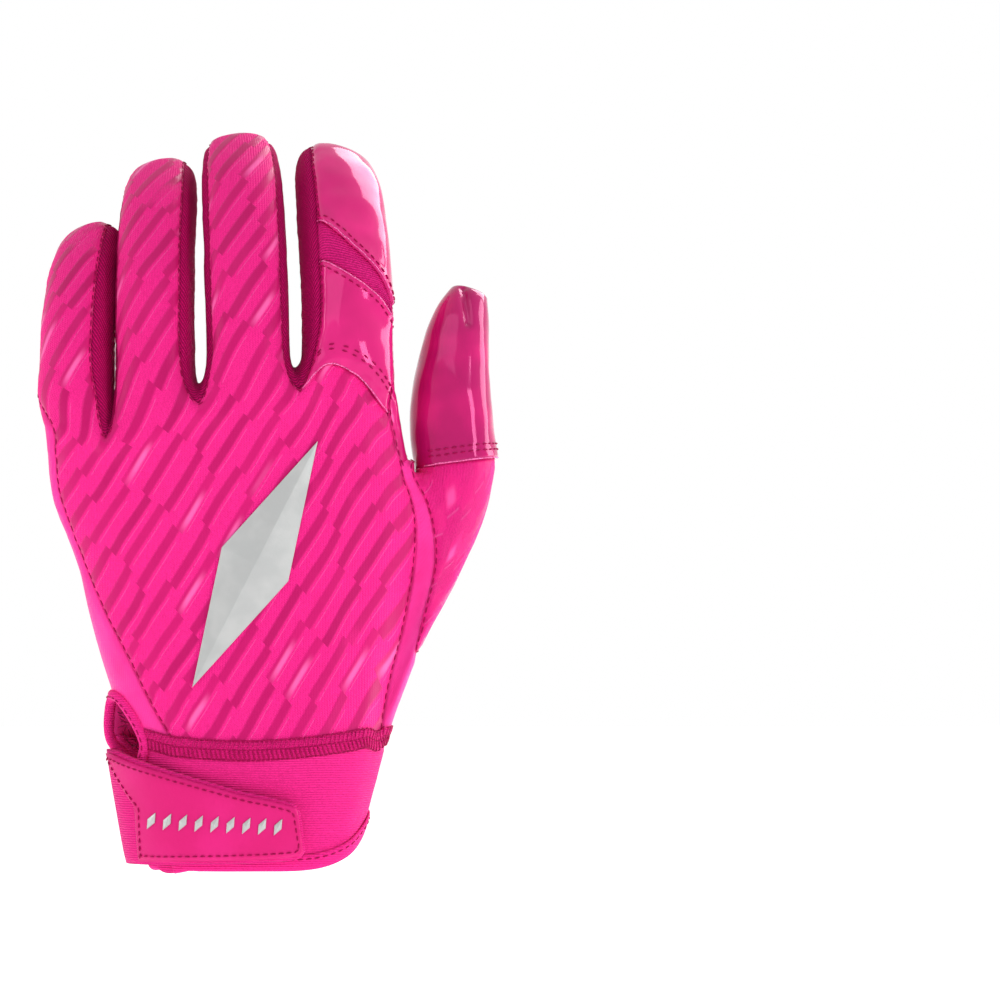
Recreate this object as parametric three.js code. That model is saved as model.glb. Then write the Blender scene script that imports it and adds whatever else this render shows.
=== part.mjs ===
import * as THREE from 'three';

// A football receiver's glove for the left hand, in the shape that a relaxed hand gives it.
// Millimetres. +Z runs from the wrist opening to the fingertips, the back of the hand faces -Y
// and the thumb is on +X. The origin is the middle of the wrist opening, level with the hem.
//
// One net of points wraps the whole hand: rows of the hand from the wrist seam to the knuckles,
// rows of each finger and of the thumb, and rows of the cuff. Each panel of the glove is a patch
// of that net, thickened inwards along the net's normals, so neighbours meet edge to edge.

// Sizes of the hand part
const palmLength = 91;        // wrist seam to the web of the ring and middle finger, on the back
const handDepth = 26;         // back to palm at the webs
const handShift = 8;          // how far forward of the wrist the middle of the hand is at the webs
const thumbRootSwell = 8;     // how far the hand swells sideways at the root of the thumb
const pinkyEdgeFall = 19;     // how far the wrist is in from the outer edge of the pinky
const wedgeWidth = 13.5;      // smooth side panel, seen from the back at the wrist seam
const palmHollow = 4;         // depth of the cup of the palm

// Sizes of the cuff
const cuffHeight = 34;
const wristWidth = 71;
const wristDepth = 46;
const cuffTaper = 6.2;        // how much less each side of the hem stands out than the wrist seam
const wristCentre = 2.9;      // middle of the wrist seam, from side to side
const hemRise = 13;           // how far the hem curves up under the thumb
const hemCentre = 2.6;        // middle of the hem, from side to side
const seamDip = 3.5;          // how far the wrist seam dips at the middle of the back
const slitHeight = 12;        // how far the slit runs up into the hand part
const slitFlare = 4;          // how far the palm side edge of the slit stands out

// Sizes of the fingers and the thumb
const fingerLength = 88;      // middle finger, web to tip
const fingerWidth = 22;
const fingerDepth = 20;
const middleOffset = 1.3;     // middle finger from the middle of the hem, towards the thumb
const webGap = 3;             // widest gap between two fingers at the web
const webRise = 6.5;          // saddle of a web above its edge on the back
const webTuck = 4;            // how far the palm is tucked in at a web
const indexHemArch = 9;       // how far the back panel arches up onto the index finger
const thumbLength = 49.5;     // hem of the thumb wrap to the tip
const thumbWidth = 22.4;
const thumbDepth = 21;
const thumbReach = 16.4;      // middle of the thumb's hem beyond the side of the knuckles
const thumbForward = 9;       // middle of the thumb's hem in front of the middle of the hand
const thumbRootShare = 0.85;  // height of the thumb's crotch, as a share of the hand's height
const thumbHemDrop = 1.6;     // how far the thumb's hem is below the crotch

// Walls
const backWall = 1.4;
const sideWall = 1.2;
const palmWall = 1.6;
const cuffWall = 2.6;
const tipThinning = 0.6;      // share of the wall that is left round the end of a finger
const seamGap = 0.3;          // between neighbouring pieces

// Trims that lie on the outside
const tapeWidth = 5.4;        // overlocked tape over the wrist seam
const tapeThickness = 0.9;
const hemWidth = 4;
const hemThickness = 1.1;
const bindingWidth = 3;       // rolled binding round the slit
const strapThickness = 1.8;
const strapStandOff = 3.4;    // how far the strap bulges over the slit
const faceThickness = 0.8;
const faceMargin = 0.9;       // strap left showing round the smooth face
const faceEnd = 18.5;         // degrees round the cuff at which the smooth face ends
const badgeLength = 74;
const badgeWidth = 20;
const badgeHeight = 2.6;
const badgeRim = 0.8;         // thickness of the badge at its edge
const badgeTilt = 27;         // degrees from +Z towards +X
const badgePlace = 0.53;      // middle of the badge, as a share of palmLength above the wrist seam

const backColumns = 4;        // columns of the net across the back of a finger

const radians = Math.PI / 180;
const lerp = THREE.MathUtils.lerp;
const squareness = 0.87;      // power of the sine and cosine of a section, 1 being an ellipse

// Fingers from the outside in. Lengths, widths and depths are shares of the middle finger's,
// gap is a share of webGap, webShift of fingerWidth, webHeight of palmLength and back of handDepth.
// Angles are degrees: lean is towards +X, curl towards the palm, roll turns the back towards +X.
const fingers = [
  { name: 'pinky', length: 0.735, width: 0.93, depth: 0.92, gap: 0.1, webShift: -0.16,
    webHeight: 0.905, lean: [-4, 12], curl: [6, 58], roll: -36, back: 0.24 },
  { name: 'ring', length: 0.955, width: 0.97, depth: 0.97, gap: 0.9, webShift: -0.02,
    webHeight: 1.003, lean: [-3, 5], curl: [6, 60], roll: -20, back: 0.06 },
  { name: 'middle', length: 0.96, width: 1.02, depth: 1, gap: 0.9, webShift: 0.12,
    webHeight: 1.044, lean: [-1, -3], curl: [5, 60], roll: -3, back: 0 },
  { name: 'index', length: 0.92, width: 1.13, depth: 1.04, gap: 0, webShift: 0,
    webHeight: 0.97, lean: [1, -6.5], curl: [5, 58], roll: 26, back: 0.05 },
];
const middleFinger = 2;
const outerWeb = { height: 0.94, inset: 0.42 };   // outer edge of the pinky at the knuckles
const innerWeb = { inset: 0.56 };                 // outer edge of the index finger there

// Rows of a finger: place along it, width and depth. Slant and drop are used on the index finger
// alone, as shares of fingerWidth: how far a row runs down towards the thumb, and down as a whole.
const fingerRows = [
  { at: 0.13, width: 1.02, depth: 1.06, slant: 0.30, drop: 0.00 },
  { at: 0.26, width: 1.00, depth: 1.02, slant: 0.33, drop: 0.06 },
  { at: 0.39, width: 1.00, depth: 1.00, slant: 0.38, drop: 0.16 },
  { at: 0.52, width: 1.00, depth: 1.00, slant: 0.60, drop: 0.28 },
  { at: 0.67, width: 0.99, depth: 0.98, slant: 0.45, drop: 0.12 },
  { at: 0.80, width: 0.97, depth: 0.93, slant: 0.16, drop: 0.00 },
  { at: 0.90, width: 0.91, depth: 0.82, slant: 0.04, drop: 0.00 },
  { at: 0.965, width: 0.80, depth: 0.60, slant: 0.00, drop: 0.00 },
];
const indexKnitRows = [2, 3];  // the ribbed knuckle panel lies between these two rows

// Rows of the hand: share of the height, of the way from wrist to knuckle edge on the pinky side,
// of the thumb root's swell, of the wedge's width, and of the way from wrist depth to hand depth.
const handRows = [
  { height: 0.00, outer: 0.00, swell: 0.00, wedge: 1.00, depth: 0.00 },
  { height: 0.12, outer: 0.14, swell: 0.14, wedge: 0.76, depth: 0.20 },
  { height: 0.26, outer: 0.29, swell: 0.46, wedge: 0.54, depth: 0.42 },
  { height: 0.40, outer: 0.44, swell: 0.78, wedge: 0.30, depth: 0.57 },
  { height: 0.55, outer: 0.58, swell: 1.00, wedge: 0.10, depth: 0.68 },
  { height: 0.68, outer: 0.78, swell: 0.98, wedge: 0.07, depth: 0.77 },
  { height: 0.77, outer: 0.90, swell: 0.74, wedge: 0.05, depth: 0.83 },
  { height: 0.85, outer: 0.94, swell: 0.42, wedge: 0.05, depth: 0.88 },
  { height: 0.93, outer: 0.96, swell: 0.18, wedge: 0.05, depth: 0.94 },
  { height: 1.00, outer: 1.00, swell: 0.00, wedge: 0.05, depth: 1.00 },
];
const thumbRootRow = handRows.findIndex((row) => row.height === thumbRootShare);

// Rows of the thumb above its hem, with the same columns as a finger's.
const thumbRows = [
  { at: 0.00, width: 0.99, depth: 1.00 },
  { at: 0.16, width: 1.02, depth: 1.02 },
  { at: 0.36, width: 0.97, depth: 1.00 },
  { at: 0.55, width: 0.87, depth: 0.96 },
  { at: 0.72, width: 0.76, depth: 0.88 },
  { at: 0.86, width: 0.64, depth: 0.76 },
  { at: 0.95, width: 0.48, depth: 0.52 },
];
const thumbLean = [-8, 19];
const thumbCurl = [2, 26];
const thumbRootRows = [0.3, 0.48, 0.66, 0.84];   // rows between the hand and the hem

// Rows of the cuff below the wrist seam, as shares of its height, and what is left of the slit's flare.
const cuffRows = [
  { at: 0.16, flare: 0.2 },
  { at: 0.42, flare: 0 },
  { at: 0.7, flare: 0 },
  { at: 1, flare: 0 },
];

// The net: points, and faces that each belong to a panel.
const points = [];
const faces = [];
function addPoint(x, y, z) {
  points.push(new THREE.Vector3(x, y, z));
  return points.length - 1;
}
function addFace(panel, ...corners) {
  const distinct = corners.filter((corner, i) => corners.indexOf(corner) === i);
  faces.push({ panel, corners: distinct });
}

// A strip of faces between two rows of points.
function addStrip(panelOf, lower, upper) {
  for (let i = 0; i + 1 < lower.length; i++) {
    addFace(panelOf(i), lower[i], lower[i + 1], upper[i + 1], upper[i]);
  }
}

const signedPower = (value, power) => Math.sign(value) * Math.abs(value) ** power;

// A point on a flattened section: angle 0 is the back, 90 the thumb side.
function sectionPoint(angle, halfWidth, halfDepth) {
  const side = signedPower(Math.sin(angle * radians), squareness) * halfWidth;
  const depth = -signedPower(Math.cos(angle * radians), squareness) * halfDepth;
  return { side, depth };
}
// The angle at which the back of a section is a given share of its half width to the side.
function angleAt(share) {
  return Math.asin(signedPower(THREE.MathUtils.clamp(share, -1, 1), 1 / squareness)) / radians;
}

// Places of the fingers across the hand.
const widths = fingers.map((finger) => finger.width * fingerWidth);
const centres = [0];
for (let i = 1; i < fingers.length; i++) {
  centres.push(centres[i - 1] + (widths[i - 1] + widths[i]) / 2 + fingers[i - 1].gap * webGap);
}
const middleShift = centres[middleFinger] - middleOffset;
centres.forEach((centre, i) => { centres[i] = centre - middleShift; });

// Height of the wrist seam, which dips by seamDip from the sides to the middle.
function seamHeight(x) {
  const outwards = Math.min(1, Math.abs(x) / (wristWidth / 2));
  return cuffHeight + seamDip * (0.5 - Math.cos(outwards * Math.PI / 2));
}

// Edges of the webs on the back: x and z of the outer edge, the three webs and the inner edge.
const webs = [{ x: centres[0] - outerWeb.inset * widths[0], z: cuffHeight + outerWeb.height * palmLength }];
fingers.forEach((finger, i) => {
  const last = i === fingers.length - 1;
  const x = last
    ? centres[i] + innerWeb.inset * widths[i]
    : (centres[i] + widths[i] / 2 + centres[i + 1] - widths[i + 1] / 2) / 2 + finger.webShift * fingerWidth;
  webs.push({ x, z: cuffHeight + finger.webHeight * palmLength });
});

// Silhouette edges of the hand at the wrist and the knuckles.
const outerKnuckle = centres[0] - 0.45 * widths[0];
const innerKnuckle = centres[3] + 0.52 * widths[3];
const outerWrist = wristCentre - wristWidth / 2;
const innerWrist = wristCentre + wristWidth / 2;

// Knuckle edge of each column of the back: its share of the way across, and its height.
const columns = fingers.length * backColumns;
const indexArch = [0, 0.9, 1, 0.65, 0];
const knuckles = [];
for (let c = 0; c <= columns; c++) {
  const finger = Math.min(fingers.length - 1, Math.floor(c / backColumns));
  const share = (c - finger * backColumns) / backColumns;
  const from = webs[finger];
  const to = webs[finger + 1];
  const x = lerp(from.x, to.x, share);
  const plain = lerp(from.z, to.z, share);
  const arch = finger === fingers.length - 1 ? indexArch[c - finger * backColumns] * indexHemArch : 0;
  knuckles.push({ across: (x - webs[0].x) / (webs[4].x - webs[0].x), plain, arched: plain + arch });
}

const sideSteps = 4;   // columns of the side panel on the pinky side
const handGrid = handRows.map((row) => {
  const left = lerp(outerWrist, outerKnuckle, row.outer);
  const right = lerp(innerWrist, innerKnuckle, row.height) + thumbRootSwell * row.swell;
  const centre = (left + right) / 2;
  const half = (right - left) / 2;
  const halfDepth = lerp(wristDepth, handDepth, row.depth) / 2;
  const middle = -row.height * handShift;
  const backLeft = Math.max(left + 0.035 * half, left + wedgeWidth * row.wedge);
  const backRight = right - 0.03 * half;
  const palmLeft = left + 0.20 * half;
  const palmRight = right - 0.14 * half;
  const place = (angle, height, hollow = 0) => {
    const at = sectionPoint(angle, half, halfDepth);
    return addPoint(centre + at.side, middle + at.depth - hollow, height);
  };
  const heightOf = (x, knuckle) => lerp(seamHeight(x), knuckle, row.height);
  const back = knuckles.map((knuckle) => {
    const x = lerp(backLeft, backRight, knuckle.across);
    return place(angleAt((x - centre) / half), heightOf(x, knuckle.arched));
  });
  const palm = knuckles.map((knuckle) => {
    const x = lerp(palmLeft, palmRight, knuckle.across);
    const share = (x - centre) / half;
    const hollow = palmHollow * Math.sin(Math.PI * row.height) * Math.max(0, 1 - (share / 0.6) ** 2);
    return place(180 - angleAt(share), heightOf(x, knuckle.plain + 2), hollow);
  });
  const outerFrom = angleAt((backLeft - centre) / half);
  const outerTo = -180 - angleAt((palmLeft - centre) / half);
  const outer = [];
  for (let k = 1; k < sideSteps; k++) {
    const angle = lerp(outerFrom, outerTo, k / sideSteps);
    outer.push(place(angle, heightOf(left, knuckles[0].plain)));
  }
  const inner = place(92, heightOf(right, knuckles[columns].plain + webRise * row.height ** 8));
  return { back, palm, outer, inner };
});

// The slit at the pinky side: its edges spread from the apex, and the palm side edge flares out.
const slitNear = handGrid[0].outer[0];
const slitFar = handGrid[0].outer[2];
const slitApex = handGrid[1].outer[1];
const flares = new Map([
  [slitNear, new THREE.Vector3(0.4, -0.4, 0).multiplyScalar(slitFlare)],
  [slitFar, new THREE.Vector3(-0.85, 0, 0).multiplyScalar(slitFlare)],
  [handGrid[1].outer[2], new THREE.Vector3(-0.4, 0, 0).multiplyScalar(slitFlare)],
]);
points[slitApex].z = seamHeight(outerWrist) + slitHeight;

for (let r = 0; r + 1 < handGrid.length; r++) {
  const low = handGrid[r];
  const high = handGrid[r + 1];
  addStrip(() => 'back_panel', low.back, high.back);
  addStrip(() => 'palm_panel', [...low.palm].reverse(), [...high.palm].reverse());
  const side = (row) => [row.palm[0], ...[...row.outer].reverse(), row.back[0]];
  const open = (i) => r === 0 && (i === 1 || i === 2);
  const lowSide = side(low);
  const highSide = side(high);
  for (let i = 0; i < sideSteps; i++) {
    if (!open(i)) addFace('side_panel', lowSide[i], lowSide[i + 1], highSide[i + 1], highSide[i]);
  }
  if (r >= thumbRootRow) {
    addStrip(() => 'palm_panel', [low.back[columns], low.inner, low.palm[columns]],
      [high.back[columns], high.inner, high.palm[columns]]);
  }
}

// The line through the middle of a finger or the thumb, bent steadily from its first angles to its last.
function middleLine(start, length, lean, curl) {
  const steps = 48;
  const line = [];
  const at = start.clone();
  for (let i = 0; i <= steps; i++) {
    const share = i / steps;
    const leanNow = lerp(lean[0], lean[1], share) * radians;
    const curlNow = lerp(curl[0], curl[1], share) * radians;
    const along = new THREE.Vector3(Math.sin(leanNow), Math.sin(curlNow) * Math.cos(leanNow),
      Math.cos(curlNow) * Math.cos(leanNow));
    line.push({ at: at.clone(), along });
    at.addScaledVector(along, length / steps);
  }
  return (share) => line[Math.round(share * steps)];
}

// The axes of a section: along the finger, to its thumb side, and out of its back.
function sectionAxes(along, roll) {
  const side = new THREE.Vector3(1, 0, 0).addScaledVector(along, -along.x).normalize();
  const out = new THREE.Vector3().crossVectors(side, along);
  const turn = roll * radians;
  return {
    along,
    side: side.clone().multiplyScalar(Math.cos(turn)).addScaledVector(out, -Math.sin(turn)),
    out: out.multiplyScalar(Math.cos(turn)).addScaledVector(side, Math.sin(turn)),
  };
}
function pointOn(centre, axes, angle, halfWidth, halfDepth, forward = 0) {
  const at = sectionPoint(angle, halfWidth, halfDepth);
  const p = centre.clone().addScaledVector(axes.side, at.side)
    .addScaledVector(axes.out, -at.depth).addScaledVector(axes.along, forward);
  return addPoint(p.x, p.y, p.z);
}

// Webs between neighbouring fingers: one point at each saddle, and the palm is tucked in below it.
const knuckleRow = handGrid[handGrid.length - 1];
const saddles = fingers.slice(1).map((finger, i) => {
  const edge = points[knuckleRow.back[(i + 1) * backColumns]];
  const far = points[knuckleRow.palm[(i + 1) * backColumns]];
  far.y -= webTuck;
  const gapMiddle = (centres[i] + widths[i] / 2 + centres[i + 1] - widths[i + 1] / 2) / 2;
  return addPoint(gapMiddle, (edge.y + far.y) / 2, Math.max(edge.z, far.z - 2) + webRise);
});

const sideAngle = 60;   // a finger's back ends this far round from its middle
const fingerRings = fingers.map((finger, f) => {
  const first = f * backColumns;
  const base = {
    back: knuckleRow.back.slice(first, first + backColumns + 1),
    palm: knuckleRow.palm.slice(first, first + backColumns + 1),
    left: f ? [saddles[f - 1]] : knuckleRow.outer,
    right: [f < saddles.length ? saddles[f] : knuckleRow.inner],
  };
  const length = finger.length * fingerLength;
  const behind = (handDepth - fingerDepth * finger.depth) / 2;
  const start = new THREE.Vector3(centres[f], -handShift - behind * 0.85 + finger.back * fingerDepth,
    (webs[f].z + webs[f + 1].z) / 2);
  const line = middleLine(start, length, finger.lean, finger.curl);
  const isIndex = finger.name === 'index';
  const rings = fingerRows.map((row) => {
    const { at, along } = line(row.at);
    const axes = sectionAxes(along, finger.roll * Math.min(1, row.at * 3 + 0.4));
    const halfWidth = widths[f] * row.width / 2;
    const halfDepth = fingerDepth * finger.depth * row.depth / 2;
    const steepest = Math.sin(sideAngle * radians);
    const forward = (angle) => {
      const across = THREE.MathUtils.clamp(Math.sin(angle * radians), -steepest, steepest);
      const onBack = THREE.MathUtils.smoothstep(Math.cos(angle * radians), -0.5, 0.5);
      return isIndex ? -(row.slant * across + row.drop) * onBack * fingerWidth : 0;
    };
    const place = (angle) => pointOn(at, axes, angle, halfWidth, halfDepth, forward(angle));
    const arc = (from, to, count) => (
      Array.from({ length: count + 1 }, (_, i) => place(lerp(from, to, i / count)))
    );
    const leftSteps = base.left.length + 1;
    return {
      back: arc(-sideAngle, sideAngle, backColumns),
      palm: arc(180 + sideAngle, 180 - sideAngle, backColumns),
      left: arc(-sideAngle, sideAngle - 180, leftSteps).slice(1, -1),
      right: arc(sideAngle, 180 - sideAngle, 2).slice(1, -1),
    };
  });
  const tip = line(1);
  return { finger, rings: [base, ...rings], tip: tip.at };
});

const fingerTips = [];
fingerRings.forEach(({ finger, rings, tip }, f) => {
  const isIndex = finger.name === 'index';
  const backPanel = (r) => {
    if (!isIndex) return 'back_panel';
    if (r <= indexKnitRows[0]) return 'index_patch';
    return r <= indexKnitRows[1] ? 'index_knit' : 'index_tip_wrap';
  };
  const webPanel = (web) => `web_${fingers[web].name}_${fingers[web + 1].name}`;
  const leftPanel = f ? () => webPanel(f - 1) : () => 'side_panel';
  const rightPanel = (r) => {
    if (!isIndex) return webPanel(f);
    return r > indexKnitRows[1] ? 'index_tip_wrap' : 'palm_panel';
  };
  for (let r = 0; r + 1 < rings.length; r++) {
    const low = rings[r];
    const high = rings[r + 1];
    addStrip(() => backPanel(r), low.back, high.back);
    addStrip(() => 'palm_panel', [...low.palm].reverse(), [...high.palm].reverse());
    const right = (ring) => [ring.back[backColumns], ...ring.right, ring.palm[backColumns]];
    const left = (ring) => [ring.back[0], ...ring.left, ring.palm[0]].reverse();
    addStrip(() => rightPanel(r), right(low), right(high));
    addStrip(leftPanel, left(low), left(high));
  }
  // The tip: the back and the palm meet on a line over the end of the finger.
  const last = rings[rings.length - 1];
  fingerTips.push(Object.values(last).flat());
  const leftMiddle = last.left[(last.left.length - 1) / 2];
  const seam = [leftMiddle];
  const between = (i) => points[last.back[i]].clone().add(points[last.palm[i]]).multiplyScalar(0.5);
  const reach = tip.clone().sub(between(backColumns / 2));
  for (let i = 1; i < backColumns; i++) {
    const turn = lerp(-sideAngle, sideAngle, i / backColumns) * radians;
    const crown = between(i).addScaledVector(reach, 0.85 * Math.cos(turn));
    seam.push(addPoint(crown.x, crown.y, crown.z));
  }
  seam.push(last.right[0]);
  const tipPanel = isIndex ? 'index_tip_wrap' : 'back_panel';
  addStrip(() => tipPanel, last.back, seam);
  addStrip(() => 'palm_panel', [...last.palm].reverse(), [...seam].reverse());
  if (last.left.length > 1) {
    addFace('side_panel', leftMiddle, last.left[0], last.back[0]);
    addFace('side_panel', leftMiddle, last.palm[0], last.left[2]);
  }
});

// The thumb: its root grows from the open side of the hand, between the wrist seam and the crotch.
const rootRows = handGrid.slice(0, thumbRootRow + 1);
const thumbRoot = [
  handGrid[thumbRootRow].inner,
  ...rootRows.map((row) => row.back[columns]).reverse(),
  handGrid[0].inner,
  ...rootRows.map((row) => row.palm[columns]),
];
const thumbSteps = thumbRoot.length;
const rootTop = points[handGrid[thumbRootRow].inner];
const thumbStart = new THREE.Vector3(
  innerKnuckle + thumbReach,
  thumbForward - handShift * thumbRootShare,
  rootTop.z - thumbHemDrop,
);
const thumbLine = middleLine(thumbStart, thumbLength, thumbLean, thumbCurl);
const thumbRings = thumbRows.map((row) => {
  const { at, along } = thumbLine(row.at);
  const axes = sectionAxes(along, 0);
  return Array.from({ length: thumbSteps }, (_, i) => pointOn(at, axes, -90 + i * 360 / thumbSteps,
    thumbWidth * row.width / 2, thumbDepth * row.depth / 2));
});
const rootRings = thumbRootRows.map((share) => thumbRoot.map((index, i) => {
  const from = points[index];
  const to = points[thumbRings[0][i]];
  const reach = from.distanceTo(to);
  // The root leaves the hand sideways near the crotch and upwards near the wrist.
  const low = (1 - Math.cos(i * 2 * Math.PI / thumbSteps)) / 2;
  const rise = (20 + 58 * low) * radians;
  const depthways = Math.sign(from.y - thumbStart.y) * 0.25 * (1 - low);
  const leaving = new THREE.Vector3(Math.cos(rise), depthways, Math.sin(rise)).multiplyScalar(reach);
  const arriving = new THREE.Vector3(0.06, 0, 1).multiplyScalar(reach);
  const s2 = share * share;
  const s3 = s2 * share;
  const p = from.clone().multiplyScalar(2 * s3 - 3 * s2 + 1)
    .addScaledVector(leaving, s3 - 2 * s2 + share)
    .addScaledVector(to, 3 * s2 - 2 * s3)
    .addScaledVector(arriving, s3 - s2);
  return addPoint(p.x, p.y, p.z);
}));
const wholeThumb = [thumbRoot, ...rootRings, ...thumbRings];
const closed = (ring) => [...ring, ring[0]];
const isFront = (i) => i < thumbSteps / 2;
wholeThumb.slice(1).forEach((ring, r) => {
  const panelOf = (i) => {
    if (r > rootRings.length) return 'thumb_wrap';
    return r === 0 && isFront(i) ? 'thumb_gusset' : 'thumb_base';
  };
  addStrip(panelOf, closed(wholeThumb[r]), closed(ring));
});
// The thumb's tip is closed across, from front to back.
const tipRing = thumbRings[thumbRings.length - 1];
const thumbEnd = thumbLine(1).at.clone().sub(thumbLine(thumbRows[thumbRows.length - 1].at).at);
const half = thumbSteps / 2;
const frontHalf = tipRing.slice(0, half + 1);
const backHalf = [tipRing[0], ...tipRing.slice(half).reverse()];
const thumbSeam = frontHalf.map((index, i) => {
  if (i === 0 || i === half) return index;
  const crown = points[index].clone().add(points[backHalf[i]]).multiplyScalar(0.5)
    .addScaledVector(thumbEnd, 0.8 * Math.sin(i / half * Math.PI));
  return addPoint(crown.x, crown.y, crown.z);
});
addStrip(() => 'thumb_wrap', frontHalf, thumbSeam);
addStrip(() => 'thumb_wrap', [...backHalf].reverse(), [...thumbSeam].reverse());

// The cuff: from the back edge of the slit round the back, the thumb side and the palm.
const seamRow = handGrid[0];
const seamPalm = [...seamRow.palm].reverse();
const cuffTop = [seamRow.outer[0], ...seamRow.back, seamRow.inner, ...seamPalm, seamRow.outer[2]];
const hemHeight = (angle) => hemRise * Math.exp(-(((angle - 100) / 31) ** 2));
const cuffRings = cuffRows.map((row) => cuffTop.map((index) => {
  const p = points[index];
  const angle = Math.atan2(p.x - wristCentre, -p.y) / radians;
  const taper = 1 - cuffTaper * row.at / (wristWidth / 2);
  const x = lerp(wristCentre, hemCentre, row.at) + (p.x - wristCentre) * taper;
  const ringPoint = addPoint(x, p.y * taper, lerp(p.z, hemHeight(angle), row.at));
  if (flares.has(index)) points[ringPoint].addScaledVector(flares.get(index), row.flare);
  return ringPoint;
}));
flares.forEach((flare, index) => points[index].add(flare));
[cuffTop, ...cuffRings].forEach((ring, r, all) => {
  if (r) addStrip(() => 'cuff', ring, all[r - 1]);
});

// Normals of the net, from all its faces.
const normals = points.map(() => new THREE.Vector3());
faces.forEach(({ corners }) => {
  const [a, b, c] = corners.map((index) => points[index]);
  const toLast = points[corners[corners.length - 1]].clone().sub(b);
  const normal = new THREE.Vector3().crossVectors(c.clone().sub(a), toLast);
  if (corners.length === 3) normal.crossVectors(b.clone().sub(a), toLast);
  corners.forEach((index) => normals[index].add(normal));
});
normals.forEach((normal) => normal.normalize());

const panels = {
  back_panel: { wall: backWall, finish: 'print' },
  side_panel: { wall: backWall, finish: 'smooth' },
  palm_panel: { wall: palmWall, finish: 'gloss' },
  web_pinky_ring: { wall: sideWall, finish: 'knit' },
  web_ring_middle: { wall: sideWall, finish: 'knit' },
  web_middle_index: { wall: sideWall, finish: 'knit' },
  index_patch: { wall: backWall, finish: 'gloss' },
  index_knit: { wall: backWall, finish: 'knit' },
  index_tip_wrap: { wall: palmWall, finish: 'gloss' },
  thumb_gusset: { wall: sideWall, finish: 'smooth' },
  thumb_base: { wall: backWall, finish: 'print' },
  thumb_wrap: { wall: palmWall, finish: 'gloss' },
  cuff: { wall: cuffWall, finish: 'neoprene' },
};

// Where panels meet, all of them are as thin as the thinnest.
const depths = points.map(() => Infinity);
faces.forEach(({ panel, corners }) => {
  corners.forEach((index) => { depths[index] = Math.min(depths[index], panels[panel].wall); });
});
fingerTips.flat().forEach((index) => { depths[index] *= tipThinning; });

// A closed surface that faces outwards.
function closedGeometry(position, triangles) {
  const corner = (index) => new THREE.Vector3().fromArray(position, index * 3);
  let volume = 0;
  for (let i = 0; i < triangles.length; i += 3) {
    const [a, b, c] = triangles.slice(i, i + 3).map(corner);
    volume += a.dot(b.cross(c));
  }
  const geometry = new THREE.BufferGeometry();
  geometry.setAttribute('position', new THREE.Float32BufferAttribute(position, 3));
  geometry.setIndex(volume < 0 ? [...triangles].reverse() : triangles);
  geometry.computeVertexNormals();
  return geometry;
}

// A closed solid from a patch of faces: its outside lies on the net and its inside a wall's depth within.
function thicken(patch) {
  const used = [...new Set(patch.flat())];
  const edges = new Map();
  patch.forEach((corners) => corners.forEach((from, i) => {
    const to = corners[(i + 1) % corners.length];
    edges.set(`${from},${to}`, [from, to]);
  }));
  const rim = [...edges.values()].filter(([from, to]) => !edges.has(`${to},${from}`));
  // The rim is pulled in by half a seam's gap, measured square to the two edges at each point.
  const pulled = new Map(used.map((index) => [index, points[index].clone()]));
  new Set(rim.flat()).forEach((index) => {
    const [first, second] = rim.filter((edge) => edge.includes(index)).map(([from, to]) => (
      new THREE.Vector3().crossVectors(normals[index], points[to].clone().sub(points[from])).normalize()
    ));
    const inward = first.clone().add(second).divideScalar(1 + first.dot(second));
    pulled.get(index).addScaledVector(inward.clampLength(0, 4), seamGap / 2);
  });
  const slots = new Map(used.map((index, i) => [index, i]));
  const count = used.length;
  const position = new Float32Array(count * 6);
  used.forEach((index, i) => {
    const outside = pulled.get(index);
    outside.toArray(position, i * 3);
    outside.clone().addScaledVector(normals[index], -depths[index]).toArray(position, (i + count) * 3);
  });
  const triangles = [];
  patch.forEach((corners) => {
    for (let i = 1; i + 1 < corners.length; i++) {
      const [a, b, c] = [corners[0], corners[i], corners[i + 1]].map((index) => slots.get(index));
      triangles.push(a, b, c, a + count, c + count, b + count);
    }
  });
  // Both neighbours of an edge split its side wall along the same diagonal.
  rim.forEach(([from, to]) => {
    const a = slots.get(from);
    const b = slots.get(to);
    if (from < to) triangles.push(b, a, b + count, a, a + count, b + count);
    else triangles.push(b, a, a + count, b, a + count, b + count);
  });
  return closedGeometry(position, triangles);
}

// A closed solid between two grids of points of the same shape, the outer and the inner surface.
function slab(outer, inner) {
  const rows = outer.length;
  const across = outer[0].length;
  const position = [...outer.flat(), ...inner.flat()].flatMap((p) => p.toArray());
  const at = (layer, r, c) => (layer * rows + r) * across + c;
  const triangles = [];
  const quad = (a, b, c, d) => triangles.push(a, b, c, a, c, d);
  for (let r = 0; r + 1 < rows; r++) {
    for (let c = 0; c + 1 < across; c++) {
      quad(at(0, r, c), at(0, r, c + 1), at(0, r + 1, c + 1), at(0, r + 1, c));
      quad(at(1, r, c), at(1, r + 1, c), at(1, r + 1, c + 1), at(1, r, c + 1));
    }
    quad(at(0, r, 0), at(0, r + 1, 0), at(1, r + 1, 0), at(1, r, 0));
    quad(at(0, r + 1, across - 1), at(0, r, across - 1), at(1, r, across - 1), at(1, r + 1, across - 1));
  }
  for (let c = 0; c + 1 < across; c++) {
    quad(at(0, 0, c + 1), at(0, 0, c), at(1, 0, c), at(1, 0, c + 1));
    quad(at(0, rows - 1, c), at(0, rows - 1, c + 1), at(1, rows - 1, c + 1), at(1, rows - 1, c));
  }
  return closedGeometry(position, triangles);
}

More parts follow.
